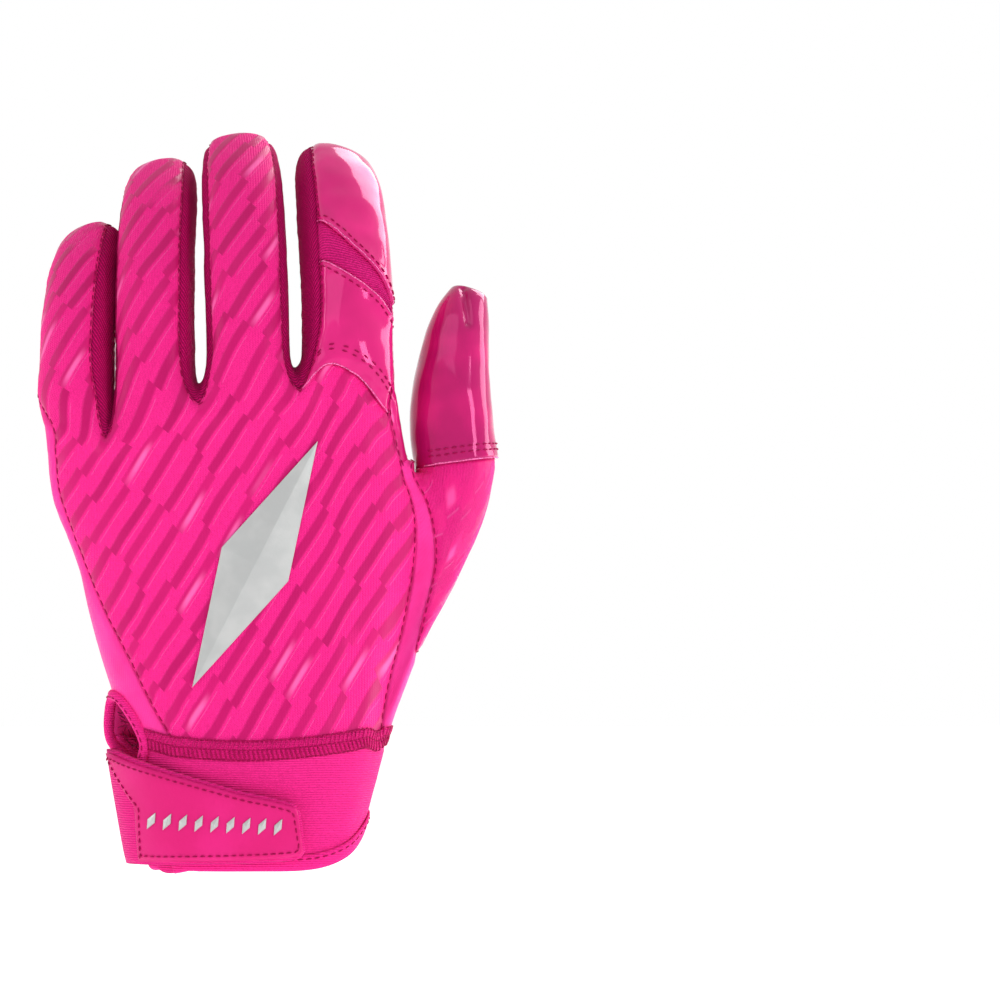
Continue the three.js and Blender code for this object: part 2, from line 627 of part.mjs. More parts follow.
// A round roll along a line of points, closed at both ends.
function roll(path, radius, sides = 8) {
  const rings = path.map((p, i) => {
    const along = path[Math.min(i + 1, path.length - 1)].clone().sub(path[Math.max(i - 1, 0)]).normalize();
    const side = new THREE.Vector3(0, 1, 0).addScaledVector(along, -along.y).normalize();
    const up = new THREE.Vector3().crossVectors(along, side);
    return Array.from({ length: sides }, (_, k) => {
      const turn = k * 2 * Math.PI / sides;
      const fromLine = side.clone().multiplyScalar(Math.cos(turn)).addScaledVector(up, Math.sin(turn));
      return p.clone().addScaledVector(fromLine, radius);
    });
  });
  const position = rings.flat().flatMap((p) => p.toArray());
  const triangles = [];
  for (let r = 0; r + 1 < rings.length; r++) {
    for (let k = 0; k < sides; k++) {
      const next = (k + 1) % sides;
      const [a, b, c, d] = [r * sides + k, r * sides + next, (r + 1) * sides + next, (r + 1) * sides + k];
      triangles.push(a, b, c, a, c, d);
    }
  }
  const end = (rings.length - 1) * sides;
  for (let k = 1; k + 1 < sides; k++) triangles.push(0, k + 1, k, end, end + k, end + k + 1);
  return closedGeometry(position, triangles);
}

// The wrist tape: a band over the seam between the cuff and the hand.
const rootFoot = rootRings[0].slice(thumbRootRow + 1, thumbRootRow + 4);
const aboveSeam = [handGrid[1].outer[0], ...handGrid[1].back.slice(0, columns), ...rootFoot,
  ...handGrid[1].palm.slice(0, columns).reverse(), handGrid[1].outer[2]];
const towards = (index, other, distance) => {
  const share = distance / points[index].distanceTo(points[other]);
  return {
    at: points[index].clone().lerp(points[other], share),
    out: normals[index].clone().lerp(normals[other], share),
  };
};
const lifted = ({ at, out }, height) => at.clone().addScaledVector(out, height);
function bandOver(columnsOfBand, thickness) {
  const lift = seamGap * 1.5;
  const outer = columnsOfBand.map((column) => column.map((point) => lifted(point, lift + thickness)));
  const inner = columnsOfBand.map((column) => column.map((point) => lifted(point, lift)));
  return slab(outer, inner);
}
const tapeColumns = cuffTop.map((index, i) => [
  towards(index, cuffRings[0][i], tapeWidth / 2),
  towards(index, cuffRings[0][i], 0),
  towards(index, aboveSeam[i], tapeWidth / 2),
]);

// The hem: a band round the lower edge of the cuff.
const hemColumns = cuffRings[cuffRings.length - 1].map((index, i) => {
  const above = cuffRings[cuffRings.length - 2][i];
  return [towards(index, above, 0), towards(index, above, hemWidth / 2), towards(index, above, hemWidth)];
});

// The rolled binding of the slit: up its near edge, round the apex and down the far edge.
const bindingInset = bindingWidth / 2 + seamGap * 1.5;
const slitEnds = (ring) => [ring[0], ring[ring.length - 1]];
const beside = (index, other, lift) => {
  const into = points[other].clone().sub(points[index]);
  into.addScaledVector(normals[index], -into.dot(normals[index])).normalize();
  return points[index].clone().addScaledVector(normals[index], lift).addScaledVector(into, bindingInset);
};
const [nearFoot, farFoot] = slitEnds(cuffRings[0]);
const bindingTop = points[slitApex].clone().addScaledVector(normals[slitApex], 0.2 * bindingWidth);
bindingTop.z = points[slitApex].z - 2 * bindingInset;
const bindingPoints = [
  beside(nearFoot, farFoot, -0.3 * bindingWidth),
  beside(slitNear, slitFar, -0.1 * bindingWidth),
  bindingTop,
  beside(slitFar, slitNear, 0.0 * bindingWidth),
  beside(farFoot, nearFoot, -1.15 * bindingWidth),
];
const bindingPath = new THREE.CatmullRomCurve3(bindingPoints).getPoints(24);

// A point off the outside of the cuff, at an angle round it and a height above the hem.
function cuffPoint(angle, z, off) {
  const share = THREE.MathUtils.clamp(1 - z / cuffHeight, 0, 1);
  const half = wristWidth / 2 - cuffTaper * share;
  const halfDepth = wristDepth / 2 * half / (wristWidth / 2);
  const at = sectionPoint(angle, half, halfDepth);
  const before = sectionPoint(angle - 2, half, halfDepth);
  const after = sectionPoint(angle + 2, half, halfDepth);
  const out = new THREE.Vector3(after.depth - before.depth, before.side - after.side, 0).normalize();
  const x = lerp(wristCentre, hemCentre, share) + at.side;
  return new THREE.Vector3(x, at.depth, z).addScaledVector(out, off);
}

// Stations of the strap, from its sewn end on the palm round the pinky side to the tab on the back:
// angle round the cuff, heights of its edges as shares of cuffHeight, and share of the stand-off.
const strapStations = [
  { angle: -152, low: 0.12, high: 0.74, off: 0 },
  { angle: -138, low: 0.08, high: 0.80, off: 0.3 },
  { angle: -122, low: 0.06, high: 0.86, off: 0.8 },
  { angle: -105, low: 0.05, high: 0.92, off: 1 },
  { angle: -88, low: 0.045, high: 0.95, off: 1 },
  { angle: -72, low: 0.045, high: 0.94, off: 0.8 },
  { angle: -57, low: 0.045, high: 0.88, off: 0.5 },
  { angle: -42, low: 0.045, high: 0.82, off: 0.2 },
  { angle: -28, low: 0.05, high: 0.76, off: 0 },
  { angle: -14, low: 0.055, high: 0.695, off: 0 },
  { angle: 0, low: 0.065, high: 0.62, off: 0 },
  { angle: 12, low: 0.08, high: 0.56, off: 0 },
  { angle: 17.5, low: 0.10, high: 0.53, off: 0 },
  { angle: 20, low: 0.15, high: 0.47, off: 0 },
];
const strapBase = hemThickness + 3 * seamGap;
const strapLead = 4;   // degrees by which the lower edge runs ahead of the upper
const strapShares = [0, 1 / 6, 1 / 3, 0.5, 2 / 3, 5 / 6, 1];   // rows from the lower edge to the upper
function strapPoint(angle, share, off, margin) {
  const next = Math.max(1, strapStations.findIndex((station) => station.angle >= angle));
  const [before, after] = [strapStations[next - 1], strapStations[next]];
  const between = (key) => lerp(before[key], after[key], (angle - before.angle) / (after.angle - before.angle));
  const z = lerp(between('low') * cuffHeight + margin, between('high') * cuffHeight - margin, share);
  const lead = strapLead * (0.5 - share) * THREE.MathUtils.smoothstep(angle, -60, 10);
  return cuffPoint(angle + lead, z, off + between('off') * (strapStandOff - strapBase));
}
const bandLayer = (off) => strapStations.map(({ angle }) => (
  strapShares.map((share) => strapPoint(angle, share, off, 0))));
const strapBand = slab(bandLayer(strapBase + strapThickness), bandLayer(strapBase));

// The smooth face is sewn to the tab, a margin in from its edges. Its left end stands upright, and
// leans out to the strap's corner near the top.
const faceSteps = 16;
const faceBend = 0.55;
const faceStart = (share) => (share < faceBend
  ? lerp(-62, -58, share / faceBend)
  : lerp(-58, -80, (share - faceBend) / (1 - faceBend)));
const faceLayer = (off) => Array.from({ length: faceSteps + 1 }, (_, c) => (
  strapShares.map((share) => strapPoint(lerp(faceStart(share), faceEnd, c / faceSteps), share, off, faceMargin))));
const faceBase = strapBase + strapThickness + seamGap;
const strapFace = slab(faceLayer(faceBase + faceThickness), faceLayer(faceBase));

// Depth of the back of the hand at a place seen from the back.
function backSurface(x, z) {
  const at = new THREE.Vector3(x, 0, z);
  const flat = (index) => points[index].clone().setY(0);
  for (const { panel, corners } of faces) {
    if (panel !== 'back_panel') continue;
    for (let i = 1; i + 1 < corners.length; i++) {
      const corner = [corners[0], corners[i], corners[i + 1]];
      const triangle = new THREE.Triangle(...corner.map(flat));
      if (!triangle.containsPoint(at)) continue;
      const shares = triangle.getBarycoord(at, new THREE.Vector3());
      return corner.reduce((sum, index, k) => sum + points[index].y * shares.getComponent(k), 0);
    }
  }
  return 0;
}
// The badge: a slim lozenge with a ridge along it that is highest in the middle.
const badgeCentre = { x: wristCentre, z: cuffHeight + badgePlace * palmLength };
const badgeRows = 12;
const badgeAcross = [-1, -0.5, 0, 0.5, 1];
const badgeGrid = (heightOf) => Array.from({ length: badgeRows + 1 }, (_, r) => badgeAcross.map((share) => {
  const run = lerp(-1, 1, r / badgeRows);
  const taper = Math.max(0.04, 1 - Math.abs(run));
  const u = share * taper * badgeWidth / 2;
  const v = run * badgeLength / 2;
  const turn = badgeTilt * radians;
  const x = badgeCentre.x + u * Math.cos(turn) + v * Math.sin(turn);
  const z = badgeCentre.z - u * Math.sin(turn) + v * Math.cos(turn);
  return new THREE.Vector3(x, backSurface(x, z) - heightOf(taper * (1 - Math.abs(share))), z);
}));
const badgeTop = badgeGrid((ridge) => seamGap + badgeRim + (badgeHeight - badgeRim) * ridge);
const badge = slab(badgeTop, badgeGrid(() => seamGap));

const glove = new THREE.Group();
const finish = (color, roughness) => new THREE.MeshStandardMaterial({ color, roughness, metalness: 0 });
const materials = {
  print: finish(0xff2f92, 0.6),
  smooth: finish(0xff4fa3, 0.4),
  knit: finish(0xc21f6c, 0.8),
  gloss: finish(0xf52a8c, 0.12),
  neoprene: finish(0xf0308a, 0.75),
  strap: finish(0xe82a84, 0.5),
  moulding: finish(0xd9d9d9, 0.35),
};
function addMesh(name, geometry, material) {
  const mesh = new THREE.Mesh(geometry, material.clone());
  mesh.name = name;
  glove.add(mesh);
}

Object.entries(panels).forEach(([name, panel]) => {
  const patch = faces.filter((face) => face.panel === name).map((face) => face.corners);
  addMesh(name, thicken(patch), materials[panel.finish]);
});

addMesh('wrist_tape', bandOver(tapeColumns, tapeThickness), materials.strap);
addMesh('hem_binding', bandOver(hemColumns, hemThickness), materials.smooth);
addMesh('slit_binding', roll(bindingPath, bindingWidth / 2), materials.smooth);
addMesh('strap_band', strapBand, materials.neoprene);
addMesh('strap_face', strapFace, materials.strap);
addMesh('badge', badge, materials.moulding);

export default glove;
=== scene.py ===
import math
import random
from collections import namedtuple

import bmesh
import bpy
from mathutils import Matrix, Vector, noise
from mathutils.bvhtree import BVHTree
from mathutils.kdtree import KDTree


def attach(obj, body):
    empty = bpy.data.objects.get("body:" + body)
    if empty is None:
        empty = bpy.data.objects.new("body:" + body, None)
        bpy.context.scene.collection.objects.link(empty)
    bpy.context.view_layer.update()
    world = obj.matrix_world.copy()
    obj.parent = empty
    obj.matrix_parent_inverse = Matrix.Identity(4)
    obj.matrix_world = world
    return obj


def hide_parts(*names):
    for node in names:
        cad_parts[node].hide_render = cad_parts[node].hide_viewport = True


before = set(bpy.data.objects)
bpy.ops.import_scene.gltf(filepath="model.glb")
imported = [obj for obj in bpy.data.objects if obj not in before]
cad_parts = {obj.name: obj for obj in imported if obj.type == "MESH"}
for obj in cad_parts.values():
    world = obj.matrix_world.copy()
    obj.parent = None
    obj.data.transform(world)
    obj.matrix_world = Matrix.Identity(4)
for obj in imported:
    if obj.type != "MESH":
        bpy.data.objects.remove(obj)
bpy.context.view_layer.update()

# The camera stands straight in front of the back of the hand, on a long lens. It is turned a little
# to the right, so that the glove stands left of the middle of the picture.
picture_width = 0.270        # what the picture shows across, at the glove
camera_distance = 2.5
camera_side = 0.006
picture_side = 0.069
picture_height = 0.0994
bpy.ops.object.camera_add(location=(camera_side, -camera_distance, picture_height))
camera = bpy.context.object
camera_turn = math.atan2(picture_side - camera_side, camera_distance)
camera.rotation_euler = (math.radians(90), 0, -camera_turn)
camera.data.sensor_fit = "HORIZONTAL"
camera.data.lens = camera.data.sensor_width * camera_distance / picture_width
camera.data.clip_end = 50
bpy.context.scene.camera = camera

# The form of the filled glove. One net of points wraps cuff, hand, fingers and thumb, as the solids
# of the frame do, and every cut panel is a patch of it: the cloth is stretched over a relaxed hand.
palm_length = 0.091
hand_depth = 0.026
hand_shift = 0.008
wedge_width = 0.0135
back_insets = (0.035, 0.03)  # of half the hand's width, on the pinky's and the thumb's side
palm_insets = (0.20, 0.14)
palm_hollow, palm_hollow_reach = 0.004, 0.6
palm_knuckle_rise = 0.002
inner_side_angle = 92
cuff_height = 0.034
wrist_width = 0.071
wrist_depth = 0.046
wrist_centre = 0.0029
seam_dip = 0.0035
thumb_root_swell = 0.008
thumb_root_share = 0.85
finger_width = 0.022
middle_offset = 0.0013
web_gap = 0.003
web_rise = 0.0065
outer_web_height, outer_web_inset, inner_web_inset = 0.94, 0.42, 0.56
outer_knuckle_inset, inner_knuckle_inset = 0.45, 0.52
index_hem_arch = 0.009
index_arch = [0, 0.9, 1, 0.65, 0]
back_columns = 4
side_steps = 4
squareness = 0.87

Finger = namedtuple("Finger", "name length width depth gap web_shift web_height lean curl roll back")
fingers = [
    Finger("pinky", 0.735, 0.93, 0.92, 0.1, -0.16, 0.905, (-4, 12), (6, 58), -36, 0.24),
    Finger("ring", 0.955, 0.97, 0.97, 0.9, -0.02, 1.003, (-3, 5), (6, 60), -20, 0.06),
    Finger("middle", 0.96, 1.02, 1.00, 0.9, 0.12, 1.044, (-1, -3), (5, 60), -3, 0.0),
    Finger("index", 0.92, 1.13, 1.04, 0.0, 0.0, 0.97, (1, -6.5), (5, 58), 26, 0.05),
]
HandRow = namedtuple("HandRow", "height outer swell wedge depth")
hand_rows = [
    HandRow(0.00, 0.00, 0.00, 1.00, 0.00),
    HandRow(0.12, 0.14, 0.14, 0.76, 0.20),
    HandRow(0.26, 0.29, 0.46, 0.54, 0.42),
    HandRow(0.40, 0.44, 0.78, 0.30, 0.57),
    HandRow(0.55, 0.58, 1.00, 0.10, 0.68),
    HandRow(0.68, 0.78, 0.98, 0.07, 0.77),
    HandRow(0.77, 0.90, 0.74, 0.05, 0.83),
    HandRow(0.85, 0.94, 0.42, 0.05, 0.88),
    HandRow(0.93, 0.96, 0.18, 0.05, 0.94),
    HandRow(1.00, 1.00, 0.00, 0.05, 1.00),
]
thumb_root_row = [row.height for row in hand_rows].index(thumb_root_share)

points = []
net_faces = []


def lerp(start, end, share):
    return start + (end - start) * share


def clamp(value, low, high):
    return max(low, min(high, value))


def ease(share):
    """A share from 0 to 1 that starts and stops gently."""
    return share ** 2 * (3 - 2 * share)


def signed_power(value, power):
    return math.copysign(abs(value) ** power, value)


def section_point(angle, half_width, half_depth):
    """Side and depth of a point of a flattened section: angle 0 is the back, 90 the thumb side."""
    turn = math.radians(angle)
    side = signed_power(math.sin(turn), squareness) * half_width
    return side, -signed_power(math.cos(turn), squareness) * half_depth


def angle_at(share):
    return math.degrees(math.asin(signed_power(clamp(share, -1, 1), 1 / squareness)))


def add_point(x, y, z):
    points.append(Vector((x, y, z)))
    return len(points) - 1


def flat_grain(indices):
    return [(points[i].x, points[i].z) for i in indices]


def add_face(panel, corners, grain):
    """A face of the net: grain is each corner's place on the flat cloth, in metres."""
    kept = [k for k, corner in enumerate(corners) if corner not in corners[:k]]
    net_faces.append((panel, [corners[k] for k in kept], [grain[k] for k in kept]))


def add_strip(panel_of, lower, upper, low_grain=None, high_grain=None):
    low_grain = low_grain or flat_grain(lower)
    high_grain = high_grain or flat_grain(upper)
    for i in range(len(lower) - 1):
        corners = [lower[i], lower[i + 1], upper[i + 1], upper[i]]
        add_face(panel_of(i), corners, [low_grain[i], low_grain[i + 1], high_grain[i + 1], high_grain[i]])


def distance_between(first, second):
    return (points[first] - points[second]).length


widths = [finger.width * finger_width for finger in fingers]
centres = [0.0]
for i in range(1, len(fingers)):
    centres.append(centres[-1] + (widths[i - 1] + widths[i]) / 2 + fingers[i - 1].gap * web_gap)
middle_finger = [finger.name for finger in fingers].index("middle")
centres = [centre - centres[middle_finger] + middle_offset for centre in centres]


def seam_height(x):
    outwards = min(1, abs(x) / (wrist_width / 2))
    return cuff_height + seam_dip * (0.5 - math.cos(outwards * math.pi / 2))


def gap_middle(i):
    """Half way between a finger and the next."""
    return (centres[i] + widths[i] / 2 + centres[i + 1] - widths[i + 1] / 2) / 2


webs = [(centres[0] - outer_web_inset * widths[0], cuff_height + outer_web_height * palm_length)]
for i, finger in enumerate(fingers):
    if i == len(fingers) - 1:
        web_x = centres[i] + inner_web_inset * widths[i]
    else:
        web_x = gap_middle(i) + finger.web_shift * finger_width
    webs.append((web_x, cuff_height + finger.web_height * palm_length))

outer_knuckle = centres[0] - outer_knuckle_inset * widths[0]
inner_knuckle = centres[-1] + inner_knuckle_inset * widths[-1]
outer_wrist = wrist_centre - wrist_width / 2
inner_wrist = wrist_centre + wrist_width / 2

Knuckle = namedtuple("Knuckle", "across plain arched")
columns = len(fingers) * back_columns
knuckles = []
for c in range(columns + 1):
    f = min(len(fingers) - 1, c // back_columns)
    share = (c - f * back_columns) / back_columns
    x = lerp(webs[f][0], webs[f + 1][0], share)
    plain = lerp(webs[f][1], webs[f + 1][1], share)
    arch = index_arch[c - f * back_columns] * index_hem_arch if f == len(fingers) - 1 else 0
    knuckles.append(Knuckle((x - webs[0][0]) / (webs[4][0] - webs[0][0]), plain, plain + arch))

HandRing = namedtuple("HandRing", "back palm outer inner")
hand_grid = []
for row in hand_rows:
    left = lerp(outer_wrist, outer_knuckle, row.outer)
    right = lerp(inner_wrist, inner_knuckle, row.height) + thumb_root_swell * row.swell
    centre, half = (left + right) / 2, (right - left) / 2
    half_depth = lerp(wrist_depth, hand_depth, row.depth) / 2
    back_left = max(left + back_insets[0] * half, left + wedge_width * row.wedge)
    back_right = right - back_insets[1] * half
    palm_left = left + palm_insets[0] * half
    palm_right = right - palm_insets[1] * half

    def place(angle, height, hollow=0.0):
        side, depth = section_point(angle, half, half_depth)
        return add_point(centre + side, depth - row.height * hand_shift - hollow, height)

    def height_of(x, knuckle_height):
        return lerp(seam_height(x), knuckle_height, row.height)

    back = []
    palm = []
    for knuckle in knuckles:
        x = lerp(back_left, back_right, knuckle.across)
        back.append(place(angle_at((x - centre) / half), height_of(x, knuckle.arched)))
        x = lerp(palm_left, palm_right, knuckle.across)
        share = (x - centre) / half
        hollow = palm_hollow * math.sin(math.pi * row.height) * max(0, 1 - (share / palm_hollow_reach) ** 2)
        palm.append(place(180 - angle_at(share), height_of(x, knuckle.plain + palm_knuckle_rise), hollow))
    outer_from = angle_at((back_left - centre) / half)
    outer_to = -180 - angle_at((palm_left - centre) / half)
    outer = [place(lerp(outer_from, outer_to, k / side_steps), height_of(left, knuckles[0].plain))
             for k in range(1, side_steps)]
    inner = place(inner_side_angle, height_of(right, knuckles[-1].plain + web_rise * row.height ** 8))
    hand_grid.append(HandRing(back, palm, outer, inner))

# The slit on the pinky side splits the wrist seam, and its edges stand a little off the hand.
slit_height, slit_flare = 0.012, 0.004
slit_near = hand_grid[0].outer[0]
slit_far = hand_grid[0].outer[2]
slit_apex = hand_grid[1].outer[1]
flares = {slit_near: Vector((0.4, -0.4, 0)) * slit_flare, slit_far: Vector((-1.1, 0, 0)) * slit_flare,
          hand_grid[1].outer[2]: Vector((-0.4, 0, 0)) * slit_flare}
points[slit_apex].z = seam_height(outer_wrist) + slit_height

# Places on the flat cloth of the back: across from the middle, and along from the wrist seam.
back_grain = {index: (points[index].x, 0.0) for index in hand_grid[0].back}
for low, high in zip(hand_grid, hand_grid[1:]):
    for below, above in zip(low.back, high.back):
        back_grain[above] = (points[above].x, back_grain[below][1] + distance_between(below, above))

for r, (low, high) in enumerate(zip(hand_grid, hand_grid[1:])):
    add_strip(lambda i: "back_panel", low.back, high.back,
              [back_grain[i] for i in low.back], [back_grain[i] for i in high.back])
    add_strip(lambda i: "palm_panel", low.palm[::-1], high.palm[::-1])
    low_side = [low.palm[0], *low.outer[::-1], low.back[0]]
    high_side = [high.palm[0], *high.outer[::-1], high.back[0]]
    for i in range(side_steps):
        if r == 0 and i in (1, 2):
            continue             # the slit
        corners = [low_side[i], low_side[i + 1], high_side[i + 1], high_side[i]]
        add_face("side_panel", corners, flat_grain(corners))
    if r >= thumb_root_row:
        add_strip(lambda i: "palm_panel", [low.back[-1], low.inner, low.palm[-1]],
                  [high.back[-1], high.inner, high.palm[-1]])


# The fingers grow from the upper edge of the hand, each as a row of flattened rings that turn, lean
# and curl as on a relaxed hand. slant and drop tilt the index finger's rings, as its edges are cut.
finger_length = 0.088
finger_depth = 0.020
finger_set_back = 0.85
web_tuck, saddle_drop = 0.004, 0.002
side_angle = 60
tip_fullness = 0.85
index_knit_rows = (2, 3)
FingerRow = namedtuple("FingerRow", "at width depth slant drop")
finger_rows = [
    FingerRow(0.13, 1.02, 1.06, 0.30, 0.00),
    FingerRow(0.26, 1.00, 1.02, 0.33, 0.06),
    FingerRow(0.39, 1.00, 1.00, 0.38, 0.16),
    FingerRow(0.52, 1.00, 1.00, 0.60, 0.28),
    FingerRow(0.67, 0.99, 0.98, 0.45, 0.12),
    FingerRow(0.80, 0.97, 0.93, 0.16, 0.00),
    FingerRow(0.90, 0.91, 0.82, 0.04, 0.00),
    FingerRow(0.965, 0.80, 0.60, 0.00, 0.00),
]


def middle_line(start, length, lean, curl):
    """The line through the middle of a finger, bent steadily from its first angles to its last."""
    steps = 48
    line = []
    at = start.copy()
    for i in range(steps + 1):
        lean_now = math.radians(lerp(*lean, i / steps))
        curl_now = math.radians(lerp(*curl, i / steps))
        along = Vector((math.sin(lean_now), math.sin(curl_now) * math.cos(lean_now),
                        math.cos(curl_now) * math.cos(lean_now)))
        line.append((at.copy(), along))
        at += along * length / steps
    return lambda share: line[math.floor(share * steps + 0.5)]


def section_axes(along, roll):
    side = (Vector((1, 0, 0)) - along * along.x).normalized()
    out = side.cross(along)
    turn = math.radians(roll)
    return along, side * math.cos(turn) - out * math.sin(turn), out * math.cos(turn) + side * math.sin(turn)


def point_on(centre, axes, angle, half_width, half_depth, forward=0.0):
    along, side_axis, out = axes
    side, depth = section_point(angle, half_width, half_depth)
    return add_point(*(centre + side_axis * side - out * depth + along * forward))


knuckle_row = hand_grid[-1]
saddles = []
for i in range(len(fingers) - 1):
    edge = points[knuckle_row.back[(i + 1) * back_columns]]
    far = points[knuckle_row.palm[(i + 1) * back_columns]]
    far.y -= web_tuck
    height = max(edge.z, far.z - saddle_drop) + web_rise
    saddles.append(add_point(gap_middle(i), (edge.y + far.y) / 2, height))

FingerRing = namedtuple("FingerRing", "back palm left right")


def finger_rings(f, finger):
    first = f * back_columns
    base = FingerRing(
        knuckle_row.back[first:first + back_columns + 1],
        knuckle_row.palm[first:first + back_columns + 1],
        [saddles[f - 1]] if f else knuckle_row.outer,
        [saddles[f]] if f < len(saddles) else [knuckle_row.inner],
    )
    behind = (hand_depth - finger_depth * finger.depth) / 2
    start = Vector((centres[f], -hand_shift - behind * finger_set_back + finger.back * finger_depth,
                    (webs[f][1] + webs[f + 1][1]) / 2))
    line = middle_line(start, finger.length * finger_length, finger.lean, finger.curl)
    rings = [base]
    for row in finger_rows:
        at, along = line(row.at)
        axes = section_axes(along, finger.roll * min(1, row.at * 3 + 0.4))
        half_width = widths[f] * row.width / 2
        half_depth = finger_depth * finger.depth * row.depth / 2
        steepest = math.sin(math.radians(side_angle))

        def place(angle):
            forward = 0.0
            if finger.name == "index":
                across = clamp(math.sin(math.radians(angle)), -steepest, steepest)
                on_back = ease(clamp(math.cos(math.radians(angle)) + 0.5, 0, 1))
                forward = -(row.slant * across + row.drop) * on_back * finger_width
            return point_on(at, axes, angle, half_width, half_depth, forward)

        def arc(start_angle, end_angle, count):
            return [place(lerp(start_angle, end_angle, i / count)) for i in range(count + 1)]

        rings.append(FingerRing(
            arc(-side_angle, side_angle, back_columns),
            arc(180 + side_angle, 180 - side_angle, back_columns),
            arc(-side_angle, side_angle - 180, len(base.left) + 1)[1:-1],
            arc(side_angle, 180 - side_angle, 2)[1:-1],
        ))
    return rings, line(1)[0]


def run_across(row):
    """How far each point of a row is from the row's first."""
    run = [0.0]
    for before, after in zip(row, row[1:]):
        run.append(run[-1] + distance_between(before, after))
    return run


def panel_of_back(finger, r):
    if finger.name != "index":
        return "back_panel"
    if r <= index_knit_rows[0]:
        return "index_patch"
    return "index_knit" if r <= index_knit_rows[1] else "index_tip_wrap"


for f, finger in enumerate(fingers):
    rings, tip = finger_rings(f, finger)
    across = run_across(rings[2].back)
    along = [back_grain[index][1] for index in rings[0].back]
    grains = [[back_grain[index] for index in rings[0].back]]
    for low, high in zip(rings, rings[1:]):
        along = [v + distance_between(a, b) for v, a, b in zip(along, low.back, high.back)]
        grains.append([(centres[f] + u - across[2], v) for u, v in zip(across, along)])
    if f == 0:
        left_panel = "side_panel"
    else:
        left_panel = f"web_{fingers[f - 1].name}_{finger.name}"
    for r, (low, high) in enumerate(zip(rings, rings[1:])):
        add_strip(lambda i: panel_of_back(finger, r), low.back, high.back, grains[r], grains[r + 1])
        add_strip(lambda i: "palm_panel", low.palm[::-1], high.palm[::-1])
        if finger.name != "index":
            right_panel = f"web_{finger.name}_{fingers[f + 1].name}"
        else:
            right_panel = "index_tip_wrap" if r > index_knit_rows[1] else "palm_panel"
        sides = []
        for ring, grain in ((low, grains[r]), (high, grains[r + 1])):
            right = [ring.back[-1], *ring.right, ring.palm[-1]]
            left = [ring.back[0], *ring.left, ring.palm[0]]
            sides.append((right, [(u, grain[-1][1]) for u in run_across(right)],
                          left[::-1], [(u, grain[0][1]) for u in run_across(left)][::-1]))
        (low_right, low_right_grain, low_left, low_left_grain) = sides[0]
        (high_right, high_right_grain, high_left, high_left_grain) = sides[1]
        add_strip(lambda i: right_panel, low_right, high_right, low_right_grain, high_right_grain)
        add_strip(lambda i: left_panel, low_left, high_left, low_left_grain, high_left_grain)
    # The tip: the back and the palm meet on a line over the end of the finger.
    last = rings[-1]
    left_middle = last.left[(len(last.left) - 1) // 2]
    seam_points = [left_middle]
    between = [(points[a] + points[b]) / 2 for a, b in zip(last.back, last.palm)]
    reach = tip - between[back_columns // 2]
    for i in range(1, back_columns):
        turn = math.radians(lerp(-side_angle, side_angle, i / back_columns))
        seam_points.append(add_point(*(between[i] + reach * tip_fullness * math.cos(turn))))
    seam_points.append(last.right[0])
    end_grain = [(u, v + distance_between(a, b))
                 for (u, v), a, b in zip(grains[-1], last.back, seam_points)]
    tip_panel = "index_tip_wrap" if finger.name == "index" else "back_panel"
    add_strip(lambda i: tip_panel, last.back, seam_points, grains[-1], end_grain)
    add_strip(lambda i: "palm_panel", last.palm[::-1], seam_points[::-1])
    if len(last.left) > 1:
        for corners in ([left_middle, last.left[0], last.back[0]],
                        [left_middle, last.palm[0], last.left[2]]):
            add_face("side_panel", corners, flat_grain(corners))

# The thumb: its root grows from the open side of the hand, between the wrist seam and the crotch,
# and its last ring closes over the tip on a seam from side to side.
thumb_length = 0.0495
thumb_width = 0.0224
thumb_depth = 0.021
thumb_reach = 0.0164
thumb_forward = 0.009
thumb_hem_drop = 0.0016
thumb_lean, thumb_curl = (-8, 19), (2, 26)
thumb_root_rows = [0.3, 0.48, 0.66, 0.84]
thumb_root_rise = (20, 78)   # how steeply the root leaves the hand, at the crotch and at the wrist
thumb_root_spread = 0.25
thumb_tip_fullness = 0.8
thumb_girth = 0.068
ThumbRow = namedtuple("ThumbRow", "at width depth")
thumb_rows = [
    ThumbRow(0.00, 0.99, 1.00),
    ThumbRow(0.16, 1.02, 1.02),
    ThumbRow(0.36, 0.97, 1.00),
    ThumbRow(0.55, 0.87, 0.96),
    ThumbRow(0.72, 0.76, 0.88),
    ThumbRow(0.86, 0.64, 0.76),
    ThumbRow(0.95, 0.48, 0.52),
]
root_rows = hand_grid[:thumb_root_row + 1]
thumb_root = [hand_grid[thumb_root_row].inner, *[row.back[-1] for row in root_rows][::-1],
              hand_grid[0].inner, *[row.palm[-1] for row in root_rows]]
thumb_steps = len(thumb_root)
thumb_start = Vector((inner_knuckle + thumb_reach, thumb_forward - hand_shift * thumb_root_share,
                      points[thumb_root[0]].z - thumb_hem_drop))
thumb_line = middle_line(thumb_start, thumb_length, thumb_lean, thumb_curl)
thumb_rings = []
for row in thumb_rows:
    at, along = thumb_line(row.at)
    axes = section_axes(along, 0)
    thumb_rings.append([point_on(at, axes, -90 + i * 360 / thumb_steps, thumb_width * row.width / 2,
                                 thumb_depth * row.depth / 2) for i in range(thumb_steps)])
root_rings = []
